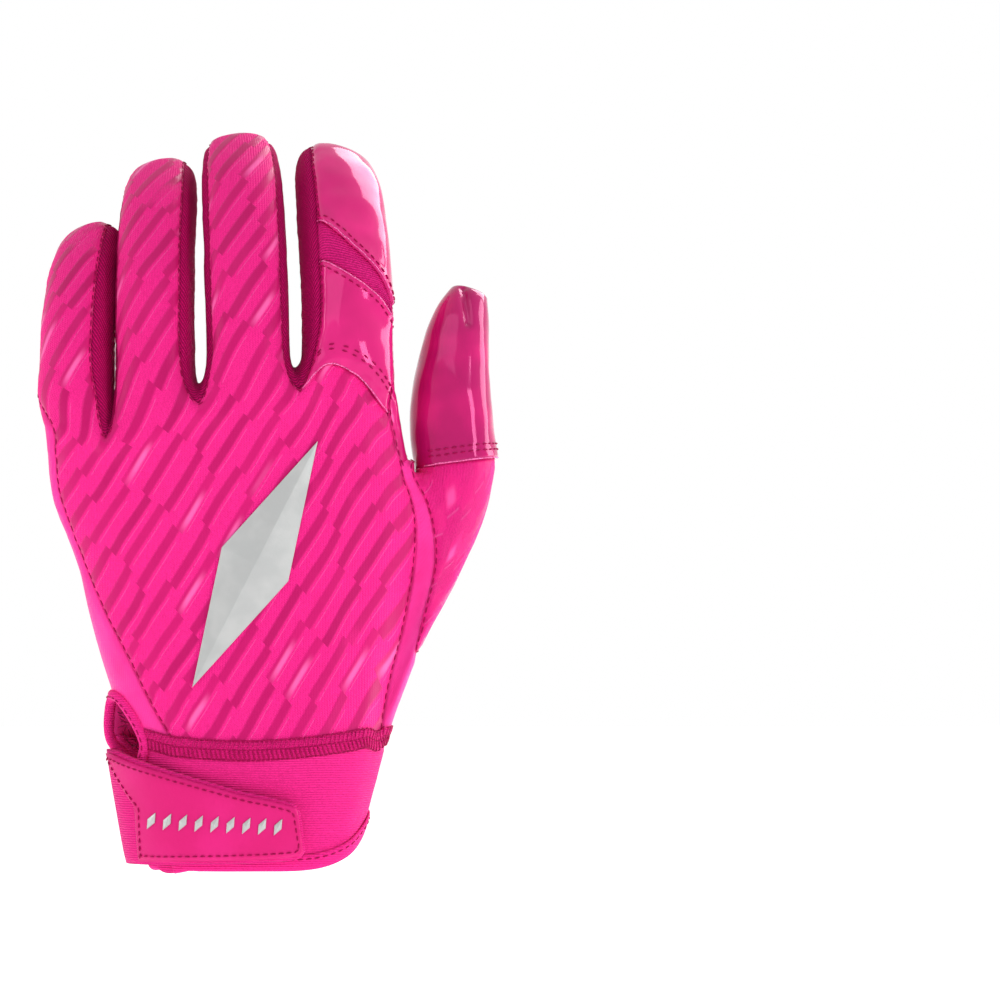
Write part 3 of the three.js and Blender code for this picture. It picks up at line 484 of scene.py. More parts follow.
for share in thumb_root_rows:
    ring = []
    for i, index in enumerate(thumb_root):
        start, end = points[index], points[thumb_rings[0][i]]
        reach = (end - start).length
        low = (1 - math.cos(i * 2 * math.pi / thumb_steps)) / 2
        rise = math.radians(lerp(*thumb_root_rise, low))
        depthways = math.copysign(thumb_root_spread * (1 - low), start.y - thumb_start.y)
        leaving = Vector((math.cos(rise), depthways, math.sin(rise))) * reach
        arriving = Vector((0.06, 0, 1)) * reach
        s2, s3 = share ** 2, share ** 3
        ring.append(add_point(*(start * (2 * s3 - 3 * s2 + 1) + leaving * (s3 - 2 * s2 + share)
                                + end * (3 * s2 - 2 * s3) + arriving * (s3 - s2))))
    root_rings.append(ring)
whole_thumb = [thumb_root, *root_rings, *thumb_rings]
run = [0.0] * (thumb_steps + 1)
for r, (lower, upper) in enumerate(zip(whole_thumb, whole_thumb[1:])):
    lower, upper = lower + lower[:1], upper + upper[:1]
    new_run = [v + distance_between(a, b) for v, a, b in zip(run, lower, upper)]

    def panel_of_thumb(i):
        if r > len(root_rings):
            return "thumb_wrap"
        return "thumb_gusset" if r == 0 and i < thumb_steps / 2 else "thumb_base"

    around = [thumb_girth * i / thumb_steps for i in range(thumb_steps + 1)]
    add_strip(panel_of_thumb, lower, upper, list(zip(around, run)), list(zip(around, new_run)))
    run = new_run
tip_ring = thumb_rings[-1]
half_way = thumb_steps // 2
front_half = tip_ring[:half_way + 1]
back_half = [tip_ring[0], *tip_ring[half_way:][::-1]]
thumb_end = thumb_line(1)[0] - thumb_line(thumb_rows[-1].at)[0]
thumb_seam = []
for i, index in enumerate(front_half):
    if i in (0, half_way):
        thumb_seam.append(index)
    else:
        between = (points[index] + points[back_half[i]]) / 2
        full = thumb_end * thumb_tip_fullness * math.sin(i / half_way * math.pi)
        thumb_seam.append(add_point(*(between + full)))
add_strip(lambda i: "thumb_wrap", front_half, thumb_seam)
add_strip(lambda i: "thumb_wrap", back_half[::-1], thumb_seam[::-1])

# The cuff hangs from the wrist seam, open at the slit. It narrows towards the hem, which rises on
# the thumb's side.
cuff_taper = 0.0062
hem_centre = 0.0026
hem_rise, hem_rise_angle, hem_rise_spread = 0.013, 100, 31
CuffRow = namedtuple("CuffRow", "at flare")
cuff_rows = [CuffRow(0.16, 0.2), CuffRow(0.42, 0), CuffRow(0.7, 0), CuffRow(1, 0)]
wrist_row = hand_grid[0]
cuff_top = [wrist_row.outer[0], *wrist_row.back, wrist_row.inner, *wrist_row.palm[::-1], wrist_row.outer[2]]
cuff_rings = []
for row in cuff_rows:
    ring = []
    for index in cuff_top:
        p = points[index]
        angle = math.degrees(math.atan2(p.x - wrist_centre, -p.y))
        taper = 1 - cuff_taper * row.at / (wrist_width / 2)
        hem_height = hem_rise * math.exp(-(((angle - hem_rise_angle) / hem_rise_spread) ** 2))
        x = lerp(wrist_centre, hem_centre, row.at) + (p.x - wrist_centre) * taper
        ring.append(add_point(x, p.y * taper, lerp(p.z, hem_height, row.at)))
        if index in flares:
            points[ring[-1]] += flares[index] * row.flare
    cuff_rings.append(ring)
for index, flare in flares.items():
    points[index] += flare
for above, below in zip([cuff_top, *cuff_rings], cuff_rings):
    add_strip(lambda i: "cuff", below, above)

# The net is rounded by a subdivision surface, and its points are moved a few times, until the
# rounded skin passes through the places that they had.
skin_levels, skin_rounds = 3, 4
panel_names = sorted({panel for panel, corners, grain in net_faces})
net = bpy.data.meshes.new("net")
net.from_pydata(points, [], [corners for panel, corners, grain in net_faces])
net_grain = net.uv_layers.new(name="grain")
for loop, place in zip(net_grain.data, (place for face in net_faces for place in face[2])):
    loop.uv = place
net.attributes.new("panel", "INT", "FACE").data.foreach_set(
    "value", [panel_names.index(panel) for panel, corners, grain in net_faces])
net_object = bpy.data.objects.new("net", net)
bpy.context.collection.objects.link(net_object)
rounding = net_object.modifiers.new("rounding", "SUBSURF")
rounding.levels = rounding.render_levels = skin_levels


def rounded():
    bpy.context.view_layer.update()
    return net_object.evaluated_get(bpy.context.evaluated_depsgraph_get()).to_mesh()


for attempt in range(skin_rounds):
    passed = [vertex.co.copy() for vertex in rounded().vertices[:len(points)]]
    for vertex, wanted, reached in zip(net.vertices, points, passed):
        vertex.co += wanted - reached
    net.update()
skin = rounded()
skin_points = [vertex.co.copy() for vertex in skin.vertices]
skin_normals = [vertex.normal.copy() for vertex in skin.vertices]
skin_faces = [tuple(face.vertices) for face in skin.polygons]
skin_panels = [panel_names[item.value] for item in skin.attributes["panel"].data]
skin_grain = [[tuple(skin.uv_layers["grain"].data[loop].uv) for loop in face.loop_indices]
              for face in skin.polygons]
bpy.data.objects.remove(net_object)

# Cloth that is sewn up and worn is never quite smooth: it swells and sinks by a few tenths.
unevenness, unevenness_size = 0.00022, 0.011
for point, normal in zip(skin_points, skin_normals):
    point += normal * unevenness * noise.fractal(point / unevenness_size, 1.0, 2.0, 2)

edge_owners = {}
for face, panel in zip(skin_faces, skin_panels):
    for start, end in zip(face, face[1:] + face[:1]):
        edge_owners.setdefault((min(start, end), max(start, end)), []).append(panel)
skin_tree = BVHTree.FromPolygons(skin_points, skin_faces)

# How panels meet. A turned seam pulls both edges into a groove, a lapped edge stands up over its
# neighbour, and thread puckers the cloth beside it.
surfaces = {}
Edge = namedtuple("Edge", "rise reach")
edges_of_cloth = {
    "turned": Edge(-0.00062, 0.0011),
    "over": Edge(0.00055, 0.0030),
    "under": Edge(-0.00035, 0.0016),
}
pucker_height, pucker_reach, pucker_size = 0.00022, 0.0042, 0.0019
lap_fade = 0.0018            # a lapped edge lies flat where it runs into a turned seam
crotch_reach = 0.0038        # this near the thumb's crotch, where panels crowd, the edges lie flat
crotch_wall = 0.12           # and the cloth is pared down to this share of its thickness


def tree_of(places):
    tree = KDTree(len(places))
    for i, place in enumerate(places):
        tree.insert(place, i)
    tree.balance()
    return tree


crotch_rings = [thumb_root, *root_rings, thumb_rings[0]]
crotch_tree = tree_of([points[ring[i]] for ring in crotch_rings for i in (-1, 0, 1)])


def off_crotch(point):
    """0 in the thumb's crotch and 1 away from it."""
    return 1 - math.exp(-(crotch_tree.find(point)[2] / crotch_reach) ** 4)


def new_piece(name, places, faces, material, grain=()):
    """A smooth piece. grain is where each corner of each face lies on the flat cloth, in metres."""
    mesh = bpy.data.meshes.new(name)
    mesh.from_pydata(places, [], faces)
    if grain:
        for loop, place in zip(mesh.uv_layers.new(name="grain").data, grain):
            loop.uv = place
    mesh.shade_smooth()
    mesh.materials.append(material)
    piece = bpy.data.objects.new(name, mesh)
    bpy.context.collection.objects.link(piece)
    return piece


def add_wall(piece, wall):
    """Gives a sheet its thickness, inwards."""
    thickness = piece.modifiers.new("wall", "SOLIDIFY")
    thickness.thickness = wall
    thickness.offset = -1
    return thickness


def cut_panel(name, material, slot, wall, laps=None, creases=()):
    """A panel of the skin with its own edges and wall. laps tells how it meets some neighbours."""
    laps = laps or {}
    chosen = [i for i, panel in enumerate(skin_panels) if panel == name]
    used = sorted({index for i in chosen for index in skin_faces[i]})
    slots = {index: k for k, index in enumerate(used)}
    borders = {}
    for (start, end), owners in edge_owners.items():
        if name in owners and len(owners) == 2 and owners[0] != owners[1]:
            other = owners[0] if owners[1] == name else owners[1]
            borders.setdefault(laps.get(other, "turned"), []).extend([skin_points[start], skin_points[end]])
    trees = {kind: tree_of(places) for kind, places in borders.items()}
    lines = [(tree_of(line), rise, reach) for line, rise, reach in creases]
    outside = []
    for index in used:
        point = skin_points[index]
        away = {kind: tree.find(point)[2] for kind, tree in trees.items()}
        nearest = min(away.values())
        lift = 0.0
        for kind, distance in away.items():
            edge = edges_of_cloth[kind]
            part = edge.rise * math.exp(-(distance / edge.reach) ** 2)
            if kind != "turned":
                part *= 1 - math.exp(-(away.get("turned", 1) / lap_fade) ** 2)
            lift += part
        for tree, rise, reach in lines:
            lift += rise * math.exp(-(tree.find(point)[2] / reach) ** 2)
        lift += pucker_height * noise.noise(point / pucker_size) * math.exp(-(nearest / pucker_reach) ** 2)
        outside.append(point + skin_normals[index] * lift * off_crotch(point))
    polygons = [[slots[index] for index in skin_faces[i]] for i in chosen]
    surfaces[name] = BVHTree.FromPolygons(outside, polygons)
    grain = [place for i in chosen for place in skin_grain[i]]
    piece = new_piece("cloth_" + name, outside, polygons, material, grain)
    area = sum(face.area for face in piece.data.polygons)
    group = piece.vertex_groups.new(name="wall")
    for vertex in piece.data.vertices:
        group.add([vertex.index], lerp(crotch_wall, 1, off_crotch(vertex.co)), "REPLACE")
    add_wall(piece, wall).vertex_group = group.name
    finish_piece(piece, slot, name)


def finish_piece(piece, slot, *nodes):
    """Applies a piece's modifiers and gives it to the frame."""
    bpy.ops.object.select_all(action="DESELECT")
    piece.select_set(True)
    bpy.context.view_layer.objects.active = piece
    for modifier in list(piece.modifiers):
        bpy.ops.object.modifier_apply(modifier=modifier.name)
    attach(piece, "root")
    if nodes:
        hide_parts(*nodes)


# The back of the hand and of three fingers: fine stretch knit, printed with slanting rows of
# staggered gel dashes in its own pink, most of them darker and all of them glossier than the cloth.
# A few dashes carry painted glints: light pink patches that stand in for highlights.


class Wire:
    """An output socket that takes part in sums."""

    def __init__(self, finish, socket):
        self.finish, self.socket = finish, socket

    def maths(self, operation, *values):
        return self.finish.node("ShaderNodeMath", {"operation": operation}, dict(enumerate(values)))

    def __add__(self, other):
        return self.maths("ADD", self, other)

    def __sub__(self, other):
        return self.maths("SUBTRACT", self, other)

    def __rsub__(self, other):
        return self.maths("SUBTRACT", other, self)

    def __mul__(self, other):
        return self.maths("MULTIPLY", self, other)

    def __truediv__(self, other):
        return self.maths("DIVIDE", self, other)

    __radd__, __rmul__ = __add__, __mul__

    def floor(self):
        return self.maths("FLOOR", self)

    def fraction(self):
        return self.maths("FRACT", self)

    def sine(self):
        return self.maths("SINE", self)

    def between(self, low, high, soft):
        """1 where the value is between low and high, 0 outside, with soft edges."""
        rise = self.finish.node("ShaderNodeMapRange", {"interpolation_type": "SMOOTHSTEP"},
                                {0: self, 1: low - soft, 2: low + soft})
        fall = self.finish.node("ShaderNodeMapRange", {"interpolation_type": "SMOOTHSTEP"},
                                {0: self, 1: high + soft, 2: high - soft})
        return rise * fall


def socket_name(word):
    return word.replace("_", " ").title().replace("Ior", "IOR")


class Finish:
    """A material on the Principled shader, whose constants are set on its own sockets."""

    def __init__(self, name, **constants):
        self.material = bpy.data.materials.new(name)
        self.material.use_nodes = True
        self.tree = self.material.node_tree
        self.shader = self.tree.nodes["Principled BSDF"]
        for socket, value in constants.items():
            self.shader.inputs[socket_name(socket)].default_value = value

    def node(self, kind, settings, sockets, output=0):
        node = self.tree.nodes.new(kind)
        for setting, value in settings.items():
            setattr(node, setting, value)
        for key, value in sockets.items():
            self.join(node.inputs[key], value)
        return Wire(self, node.outputs[output])

    def join(self, socket, value):
        if isinstance(value, Wire):
            self.tree.links.new(value.socket, socket)
        else:
            socket.default_value = value

    def mix(self, share, first, second):
        return self.node("ShaderNodeMix", {"data_type": "RGBA"}, {0: share, 6: first, 7: second}, 2)

    def place(self):
        return self.node("ShaderNodeTexCoord", {}, {}, "Object")

    def grain(self):
        """Across and along the flat cloth, in metres."""
        cloth = self.node("ShaderNodeUVMap", {"uv_map": "grain"}, {})
        split = self.node("ShaderNodeSeparateXYZ", {}, {0: cloth})
        return split, Wire(self, split.socket.node.outputs[1])

    def noise(self, size, detail):
        sockets = {"Vector": self.place(), "Scale": 1 / size, "Detail": detail}
        return self.node("ShaderNodeTexNoise", {}, sockets)

    def bump(self, height, depth, under=None):
        sockets = {"Height": height, "Distance": depth}
        if under:
            sockets["Normal"] = under
        return self.node("ShaderNodeBump", {}, sockets)

    def surface(self, **sockets):
        for socket, value in sockets.items():
            self.join(self.shader.inputs[socket_name(socket)], value)
        return self.material


def colour(red, green, blue):
    """A colour of the picture, 0 to 255, as the linear values that the shader takes."""
    parts = [part / 255 for part in (red, green, blue)]
    return tuple(part / 12.92 if part < 0.04 else ((part + 0.055) / 1.055) ** 2.4 for part in parts) + (1,)


pink = colour(252, 40, 144)
gloss_tint = colour(255, 150, 205)
print_pitch, print_dash, print_steepness = 0.0063, 0.0172, 57


def knit(finish, across, along, wale, course):
    """Height of a fine jersey: rows of small V stitches."""
    side = (across / wale).fraction() - 0.5
    bent = finish.node("ShaderNodeMath", {"operation": "ABSOLUTE"}, {0: side})
    rows = ((along / course + bent * 1.1) * (2 * math.pi)).sine()
    wales = (across * (2 * math.pi / wale)).sine()
    return rows * 0.5 + wales * 0.5


def printed_knit(name, steepness, pitch, dash, depth_of_tone):
    finish = Finish(name, specular_ior_level=0.3, specular_tint=gloss_tint, sheen_weight=0.12,
                    sheen_roughness=0.4, sheen_tint=gloss_tint)
    across, along = finish.grain()
    turn = math.radians(steepness)
    wander = finish.noise(0.03, 1.0)
    run = across * math.cos(turn) + along * math.sin(turn)
    row = (across * math.sin(turn) - along * math.cos(turn)) / pitch + wander * 0.3
    line = row.floor()
    start = finish.node("ShaderNodeTexWhiteNoise", {"noise_dimensions": "1D"}, {"W": line})
    length = run / dash + start * 5 + row.fraction() * 0.12
    part = length.floor()
    odd = (part * 0.5).fraction() * 2
    inside = length.fraction()
    chance = finish.node("ShaderNodeTexWhiteNoise", {"noise_dimensions": "2D"},
                         {"Vector": finish.node("ShaderNodeCombineXYZ", {}, {0: line, 1: part})})
    sideways = row.fraction() - odd * 0.2
    width = chance * 0.14
    body = (sideways + width * 0.5).between(0.25, 0.64, 0.07)
    edge_line = (sideways + width * 0.5).between(0.75, 0.78, 0.02) * inside.between(0.08, 0.85, 0.02)
    # Painted glints: a few dashes, picked at random, are painted light pink where a highlight would be.
    painted_glint = chance.between(0.84, 2, 0.02) * inside.between(0.10, 0.62, 0.16) * sideways.between(0.36, 2, 0.08)
    loops = knit(finish, across, along, 0.00072, 0.00062)
    speckle = finish.noise(0.00042, 1.0)
    fade = finish.noise(0.022, 1.0).between(0.30, 1.2, 0.06)
    gel = body * (fade * 0.75 + 0.25)
    cloth = finish.mix(speckle.between(0.50, 1.5, 0.10) * 0.6, pink, colour(236, 30, 128))
    cloth = finish.mix((loops + 1) * 0.10, cloth, colour(180, 12, 84))
    tone = finish.mix(chance, colour(168, 12, 84), colour(196, 20, 102))
    # The painted glints: light pink mixed into the dash tone, standing in for highlights on the gel.
    tone = finish.mix(painted_glint * 0.85, tone, colour(255, 112, 184))
    base = finish.mix(gel * depth_of_tone, cloth, tone)
    base = finish.mix(edge_line * 0.4, base, colour(255, 112, 186))
    relief = finish.bump(loops * (1 - gel * 0.85), 0.00009)
    relief = finish.bump(body + edge_line * 0.5, 0.00014, relief)
    return finish.surface(base_color=base, roughness=0.62 - gel * 0.25, normal=relief)


back_print = printed_knit("printed_stretch_knit", print_steepness, print_pitch, print_dash, 0.85)
cut_panel("back_panel", back_print, "printed_fabric", 0.0013,
          laps={"index_patch": "under", "cuff": "under"})

# The smooth wedge of plain stretch cloth on the pinky side, and the narrow plain strip that lets
# the thumb move. Both are sewn in with turned seams.
smooth_pink = colour(252, 58, 158)


def plain_stretch():
    finish = Finish("plain_stretch", specular_ior_level=0.35, specular_tint=gloss_tint, sheen_weight=0.2,
                    sheen_roughness=0.35, sheen_tint=gloss_tint)
    across, along = finish.grain()
    loops = knit(finish, across, along, 0.0005, 0.00045)
    cloud = finish.noise(0.012, 2.0)
    base = finish.mix(cloud.between(0.5, 1.5, 0.2), smooth_pink, colour(246, 48, 146))
    base = finish.mix((loops + 1) * 0.05, base, colour(190, 20, 100))
    relief = finish.bump(loops, 0.00005)
    return finish.surface(base_color=base, roughness=0.46 + cloud * 0.08, normal=relief)


plain_cloth = plain_stretch()
cut_panel("side_panel", plain_cloth, "smooth_fabric", 0.0013, laps={"cuff": "under"})
cut_panel("thumb_gusset", plain_cloth, "smooth_fabric", 0.0011)

# Between the fingers and over the index finger's knuckle: a soft rib that stretches, cut on the
# slant between the fingers and straight across on the knuckle. The grooves between the ribs are
# painted darker, as painted shade, and far darker between the fingers, as painted shade in the webs.


def ribbed(name, steepness, tone, shade):
    finish = Finish(name, specular_ior_level=0.1, specular_tint=gloss_tint)
    across, along = finish.grain()
    turn = math.radians(steepness)
    rib = ((across * math.cos(turn) + along * math.sin(turn)) * (2 * math.pi / 0.00082)).sine()
    thread = ((across * math.sin(turn) - along * math.cos(turn)) * (2 * math.pi / 0.0005)).sine()
    speckle = finish.noise(0.0005, 1.0)
    # Painted shade: each groove between the ribs is mixed towards the shade colour.
    base = finish.mix((1 - rib) * 0.36, tone, shade)
    base = finish.mix(speckle.between(0.55, 1.5, 0.08) * 0.3, base, colour(150, 10, 70))
    relief = finish.bump(rib + thread * 0.25, 0.00016)
    return finish.surface(base_color=base, roughness=0.72 + rib * 0.06, normal=relief)


# Between the fingers the shade colour is far darker: painted shade deep in the webs between the fingers.
finger_rib = ribbed("finger_rib", 38, colour(216, 20, 112), colour(104, 2, 46))
knuckle_rib = ribbed("knuckle_rib", 90, colour(244, 40, 140), colour(184, 20, 98))
cut_panel("web_pinky_ring", finger_rib, "ribbed_mesh", 0.0011)
cut_panel("web_ring_middle", finger_rib, "ribbed_mesh", 0.0011)
cut_panel("web_middle_index", finger_rib, "ribbed_mesh", 0.0011)
cut_panel("index_knit", knuckle_rib, "ribbed_mesh", 0.0013,
          laps={"index_patch": "under", "index_tip_wrap": "under"})

# The grip film: the palm, the wraps of thumb and index finger and the patch on the index finger's
# back are a soft cloth coated with tacky, glossy film. On the thumb the film is painted a little
# darker, as painted shade. The wraps and the patch are cut raw at the edges and sewn over their
# neighbours.


def grip_film(name, tone, shade, texture):
    finish = Finish(name, specular_ior_level=0.65, specular_tint=gloss_tint)
    cloud = finish.noise(0.016, 2.0)
    grainy = finish.noise(0.0011, 2.0)
    base = finish.mix(cloud.between(0.45, 1.5, 0.16), tone, shade)
    swell = finish.bump(finish.noise(0.012, 1.0), 0.0009)
    relief = finish.bump(grainy, texture, swell)
    return finish.surface(base_color=base, roughness=0.06 + grainy * 0.06, normal=relief)


wrap_film = grip_film("grip_film_wrap", colour(222, 32, 122), colour(204, 26, 110), 0.000004)
# The thumb's film is the wrap film painted darker: painted shade on the thumb.
shaded_thumb_film = grip_film("grip_film_thumb", colour(204, 22, 108), colour(172, 14, 92), 0.000004)
palm_film = grip_film("grip_film_palm", colour(222, 30, 122), colour(200, 24, 106), 0.00008)
cut_panel("palm_panel", palm_film, "grip_film", 0.0016, laps={"cuff": "under"})
cut_panel("index_patch", wrap_film, "grip_film", 0.0013,
          laps={"back_panel": "over", "index_knit": "over"})
cut_panel("index_tip_wrap", wrap_film, "grip_film", 0.0015, laps={"index_knit": "over"})

dart_top, dart_foot, dart_steps = (0.0590, 0.1585), (0.0604, 0.1475), 14
dart_rise, dart_reach = -0.0012, 0.0010
in_front, backwards = -0.2, Vector((0, 1, 0))
thumb_dart = []
for i in range(dart_steps + 1):
    x, z = [lerp(top, foot, i / dart_steps) for top, foot in zip(dart_top, dart_foot)]
    hit = skin_tree.ray_cast(Vector((x, in_front, z)), backwards)[0]
    if hit:
        thumb_dart.append(hit)
cut_panel("thumb_wrap", shaded_thumb_film, "grip_film", 0.0015, laps={"thumb_base": "over"},
          creases=[(thumb_dart, dart_rise, dart_reach)])

# The root of the thumb is the same printed knit as the back, with finer rows that run up the thumb.
# It lies under the raw edge of the thumb's wrap, and ends under the tape at the wrist.
thumb_print = printed_knit("printed_stretch_knit_thumb", 78, 0.0048, 0.0150, 0.45)
cut_panel("thumb_base", thumb_print, "printed_fabric", 0.0013,
          laps={"thumb_wrap": "under", "cuff": "under"})

# The cuff: thick foam-backed jersey with fine cross ribs, one band that is open at the slit. It is
# sewn to the hand under the wrist tape.
cuff_wall = 0.0026


def cuff_jersey(name, tone, shade):
    finish = Finish(name, specular_ior_level=0.15, specular_tint=gloss_tint, sheen_weight=0.15,
                    sheen_roughness=0.4, sheen_tint=gloss_tint)
    split = finish.node("ShaderNodeSeparateXYZ", {}, {0: finish.place()})
    height = Wire(finish, split.socket.node.outputs[2])
    wander = finish.noise(0.02, 1.0)
    rib = ((height / 0.00064 + wander * 1.2) * (2 * math.pi)).sine()
    speckle = finish.noise(0.00045, 1.0)
    # Painted shade: the grooves between the cross ribs are mixed towards the shade colour.
    base = finish.mix((1 - rib) * 0.20, tone, shade)
    base = finish.mix(speckle.between(0.52, 1.5, 0.1) * 0.25, base, colour(190, 14, 92))
    relief = finish.bump(rib + speckle * 0.6, 0.00009)
    return finish.surface(base_color=base, roughness=0.7 + rib * 0.05, normal=relief)


cuff_cloth = cuff_jersey("cuff_jersey", colour(244, 44, 142), colour(196, 24, 104))
cut_panel("cuff", cuff_cloth, "cuff_knit", cuff_wall,
          laps={name: "under" for name in panel_names if name != "cuff"})

# Thread: one stitch is modelled as a small bead drawn out along the seam, and copied down each row.
# Most rows are sewn in a deeper pink than the cloth.
bpy.ops.object.select_all(action="DESELECT")
bpy.ops.mesh.primitive_uv_sphere_add(segments=6, ring_count=5, radius=0.5)
bead = bpy.context.object
stitch_points = [Vector((v.co.z, v.co.y, v.co.x)) for v in bead.data.vertices]
stitch_faces = [tuple(face.vertices)[::-1] for face in bead.data.polygons]
bpy.data.objects.remove(bead)
random.seed(7)


def thread_finish(name, tone):
    finish = Finish(name, specular_ior_level=0.2, specular_tint=gloss_tint)
    twist = finish.noise(0.0004, 1.0)
    base = finish.mix(twist.between(0.5, 1.5, 0.12) * 0.6, tone, colour(128, 10, 60))
    return finish.surface(base_color=base, roughness=0.5 + twist * 0.2, normal=finish.bump(twist, 0.0001))


thread = thread_finish("thread", colour(206, 30, 112))
dark_thread = thread_finish("dark_thread", colour(168, 12, 80))


def linked(edges):
    """Edges joined end to end into runs of vertices."""
    beside = {}
    for start, end in edges:
        beside.setdefault(start, []).append(end)
        beside.setdefault(end, []).append(start)
    ends = sorted(index for index, others in beside.items() if len(others) != 2)
    runs = []
    for start in ends + sorted(beside):
        while beside[start]:
            run = [start]
            while beside[run[-1]]:
                following = beside[run[-1]].pop()
                beside[following].remove(run[-1])
                run.append(following)
                if following in ends:
                    break
            runs.append(run)
    return runs


def runs_of(edges):
    """The skin's points and normals along runs of its edges."""
    return [[(skin_points[i], skin_normals[i]) for i in run] for run in linked(edges)]


def seams(first, *others):
    """The runs along which one panel meets any of the others."""
    edges = [edge for edge, owners in edge_owners.items()
             if len(owners) == 2 and first in owners and set(owners) & set(others)]
    return runs_of(edges)


def evenly(run, step):
    """Places at equal steps along a run of points with normals."""
    lengths = [0.0]
    for (before, _), (after, _) in zip(run, run[1:]):
        lengths.append(lengths[-1] + (after - before).length)
    count = max(2, round(lengths[-1] / step))
    places = []
    k = 0
    for i in range(count + 1):
        wanted = lengths[-1] * i / count
        while k < len(run) - 2 and lengths[k + 1] < wanted:
            k += 1
        share = clamp((wanted - lengths[k]) / max(1e-9, lengths[k + 1] - lengths[k]), 0, 1)
        (point, normal), (next_point, next_normal) = run[k:k + 2]
        places.append((point.lerp(next_point, share), normal.lerp(next_normal, share).normalized()))
    return places


def tangents(places):
    """The way on at each place, from the one before it to the one after."""
    row = [places[0], *places, places[-1]]
    return [(after[0] - before[0]).normalized() for before, after in zip(row, row[2:])]


def sew(name, places, length, thickness, material, lean=0.0, sink=0.25, wide=1.0):
    """Stitches at each place, drawn out along the row and turned out of it by lean."""
    new_points, new_faces = [], []
    for (point, normal), along in zip(places, tangents(places)):
        along = (along - normal * along.dot(normal)).normalized()
        along = Matrix.Rotation(lean, 3, normal) @ along
        side = normal.cross(along)
        first = len(new_points)
        middle = point + normal * thickness * (0.5 - sink)
        across = side * thickness * wide
        new_points += [middle + along * p.x * length + across * p.y + normal * p.z * thickness
                       for p in stitch_points]
        new_faces += [[first + k for k in face] for face in stitch_faces]
    finish_piece(new_piece(name, new_points, new_faces, material), "trim")


def beside_seam(run, panel, inset, step):
    """Places in a row on a panel, a given distance in from its seam."""
    samples = evenly(run, step)
    row = []
    for (point, normal), along in zip(samples, tangents(samples)):
        side = normal.cross(along).normalized() * inset
        first, second = (surfaces[panel].find_nearest(point + side * sign) for sign in (1, -1))
        gap = [(near[0] - (point + side * sign)).length for near, sign in ((first, 1), (second, -1))]
        near = first if gap[0] <= gap[1] else second
        row.append((near[0], near[1]))
    return row


# Turned seams: the panels are sewn face to face and turned out, and one row of small stitches shows
# beside the groove between them.
seam_inset, seam_pitch, seam_stitch, seam_thread = 0.0004, 0.0027, 0.0019, 0.00045
shortest_run = 8
turned_seams = {
    "back_panel": ("web_pinky_ring", "web_ring_middle", "web_middle_index", "side_panel", "thumb_gusset"),
    "thumb_base": ("thumb_gusset",),
    "palm_panel": ("web_pinky_ring", "web_ring_middle", "web_middle_index", "side_panel", "back_panel",
                   "thumb_base", "index_tip_wrap"),
    "index_patch": ("web_middle_index", "palm_panel"),
    "index_tip_wrap": ("web_middle_index",),
}
for panel, others in turned_seams.items():
    for other in others:
        for k, run in enumerate(seams(panel, other)):
            if len(run) > shortest_run:
                row = beside_seam(run, panel, seam_inset, seam_pitch)
                sew(f"seam_{panel}_{other}_{k}", row, seam_stitch, seam_thread, dark_thread, sink=0.3)

# Lapped edges: one or two rows of stitches hold the film down, a few millimetres in from its raw
# edge, where the pale backing shows as a thin line.
lap_pitch, lap_stitch, lap_thread = 0.0022, 0.0015, 0.0005
lap_clear, rim_clear = 0.9, 0.5      # how far off the thumb's crotch the stitches and the rim end
rim_inset, rim_pitch, rim_length, rim_thickness = 0.0002, 0.0010, 0.0021, 0.00038
lapped_rows = [
    ("index_patch", "back_panel", (0.0042, 0.0056)),
    ("index_patch", "index_knit", (0.0016,)),
    ("index_tip_wrap", "index_knit", (0.0016,)),
    ("thumb_wrap", "thumb_base", (0.0024, 0.0040)),
]
cut_edge = thread_finish("cut_edge", colour(255, 122, 190))
for panel, other, insets in lapped_rows:
    for k, run in enumerate(seams(panel, other)):
        for inset in insets:
            row = [place for place in beside_seam(run, panel, inset, lap_pitch)
                   if off_crotch(place[0]) > lap_clear]
            name = f"lap_{panel}_{other}_{k}_{round(inset * 10000)}"
            sew(name, row, lap_stitch, lap_thread, dark_thread, sink=0.2)
        rim = [place for place in beside_seam(run, panel, rim_inset, rim_pitch)
               if off_crotch(place[0]) > rim_clear]
        sew(f"cut_edge_{panel}_{other}_{k}", rim, rim_length, rim_thickness, cut_edge, sink=0.55)

# The wrist tape: the hand and the cuff are joined edge to edge under an overlocked tape, with two
# rows of dense slanted stitches.
tape_width, tape_height, tape_gap, tape_sink = 0.0050, 0.0003, 0.0001, 0.0006
overlock_pitch, overlock_stitch, overlock_thread, overlock_stray = 0.00125, 0.0027, 0.00052, 0.0001
line_pitch, line_stitch, line_thread = 0.0013, 0.00125, 0.00045
hand_panels = [name for name in panel_names if name != "cuff"]
wrist_run = max(seams("cuff", *hand_panels), key=len)
tape_samples = evenly(wrist_run, 0.0012)


def upwards(normal, along):
    """The way up along the skin, square to a seam."""
    up = normal.cross(along).normalized()
    return up if up.z > 0 else -up


def across_seam(samples, offset, lift):
    """Places off a seam, upwards by offset along the skin and out of it by lift."""
    places = []
    for (point, normal), along in zip(samples, tangents(samples)):
        near, out = skin_tree.find_nearest(point + upwards(normal, along) * offset)[:2]
        places.append((near + out * lift, out))
    return places


def turn_outwards(mesh):
    shell = bmesh.new()
    shell.from_mesh(mesh)
    bmesh.ops.recalc_face_normals(shell, faces=shell.faces)
    shell.to_mesh(mesh)
    shell.free()


grid_grain = (0.0012, 0.0009)


def grid_faces(rows, closed=False):
    """The faces between rows of points. closed joins the last row to the first."""
    count = len(rows[0])
    faces = []
    for r in range(len(rows) - 1 + closed):
        upper = (r + 1) % len(rows)
        for c in range(count - 1):
            faces.append([r * count + c, r * count + c + 1, upper * count + c + 1, upper * count + c])
    return faces


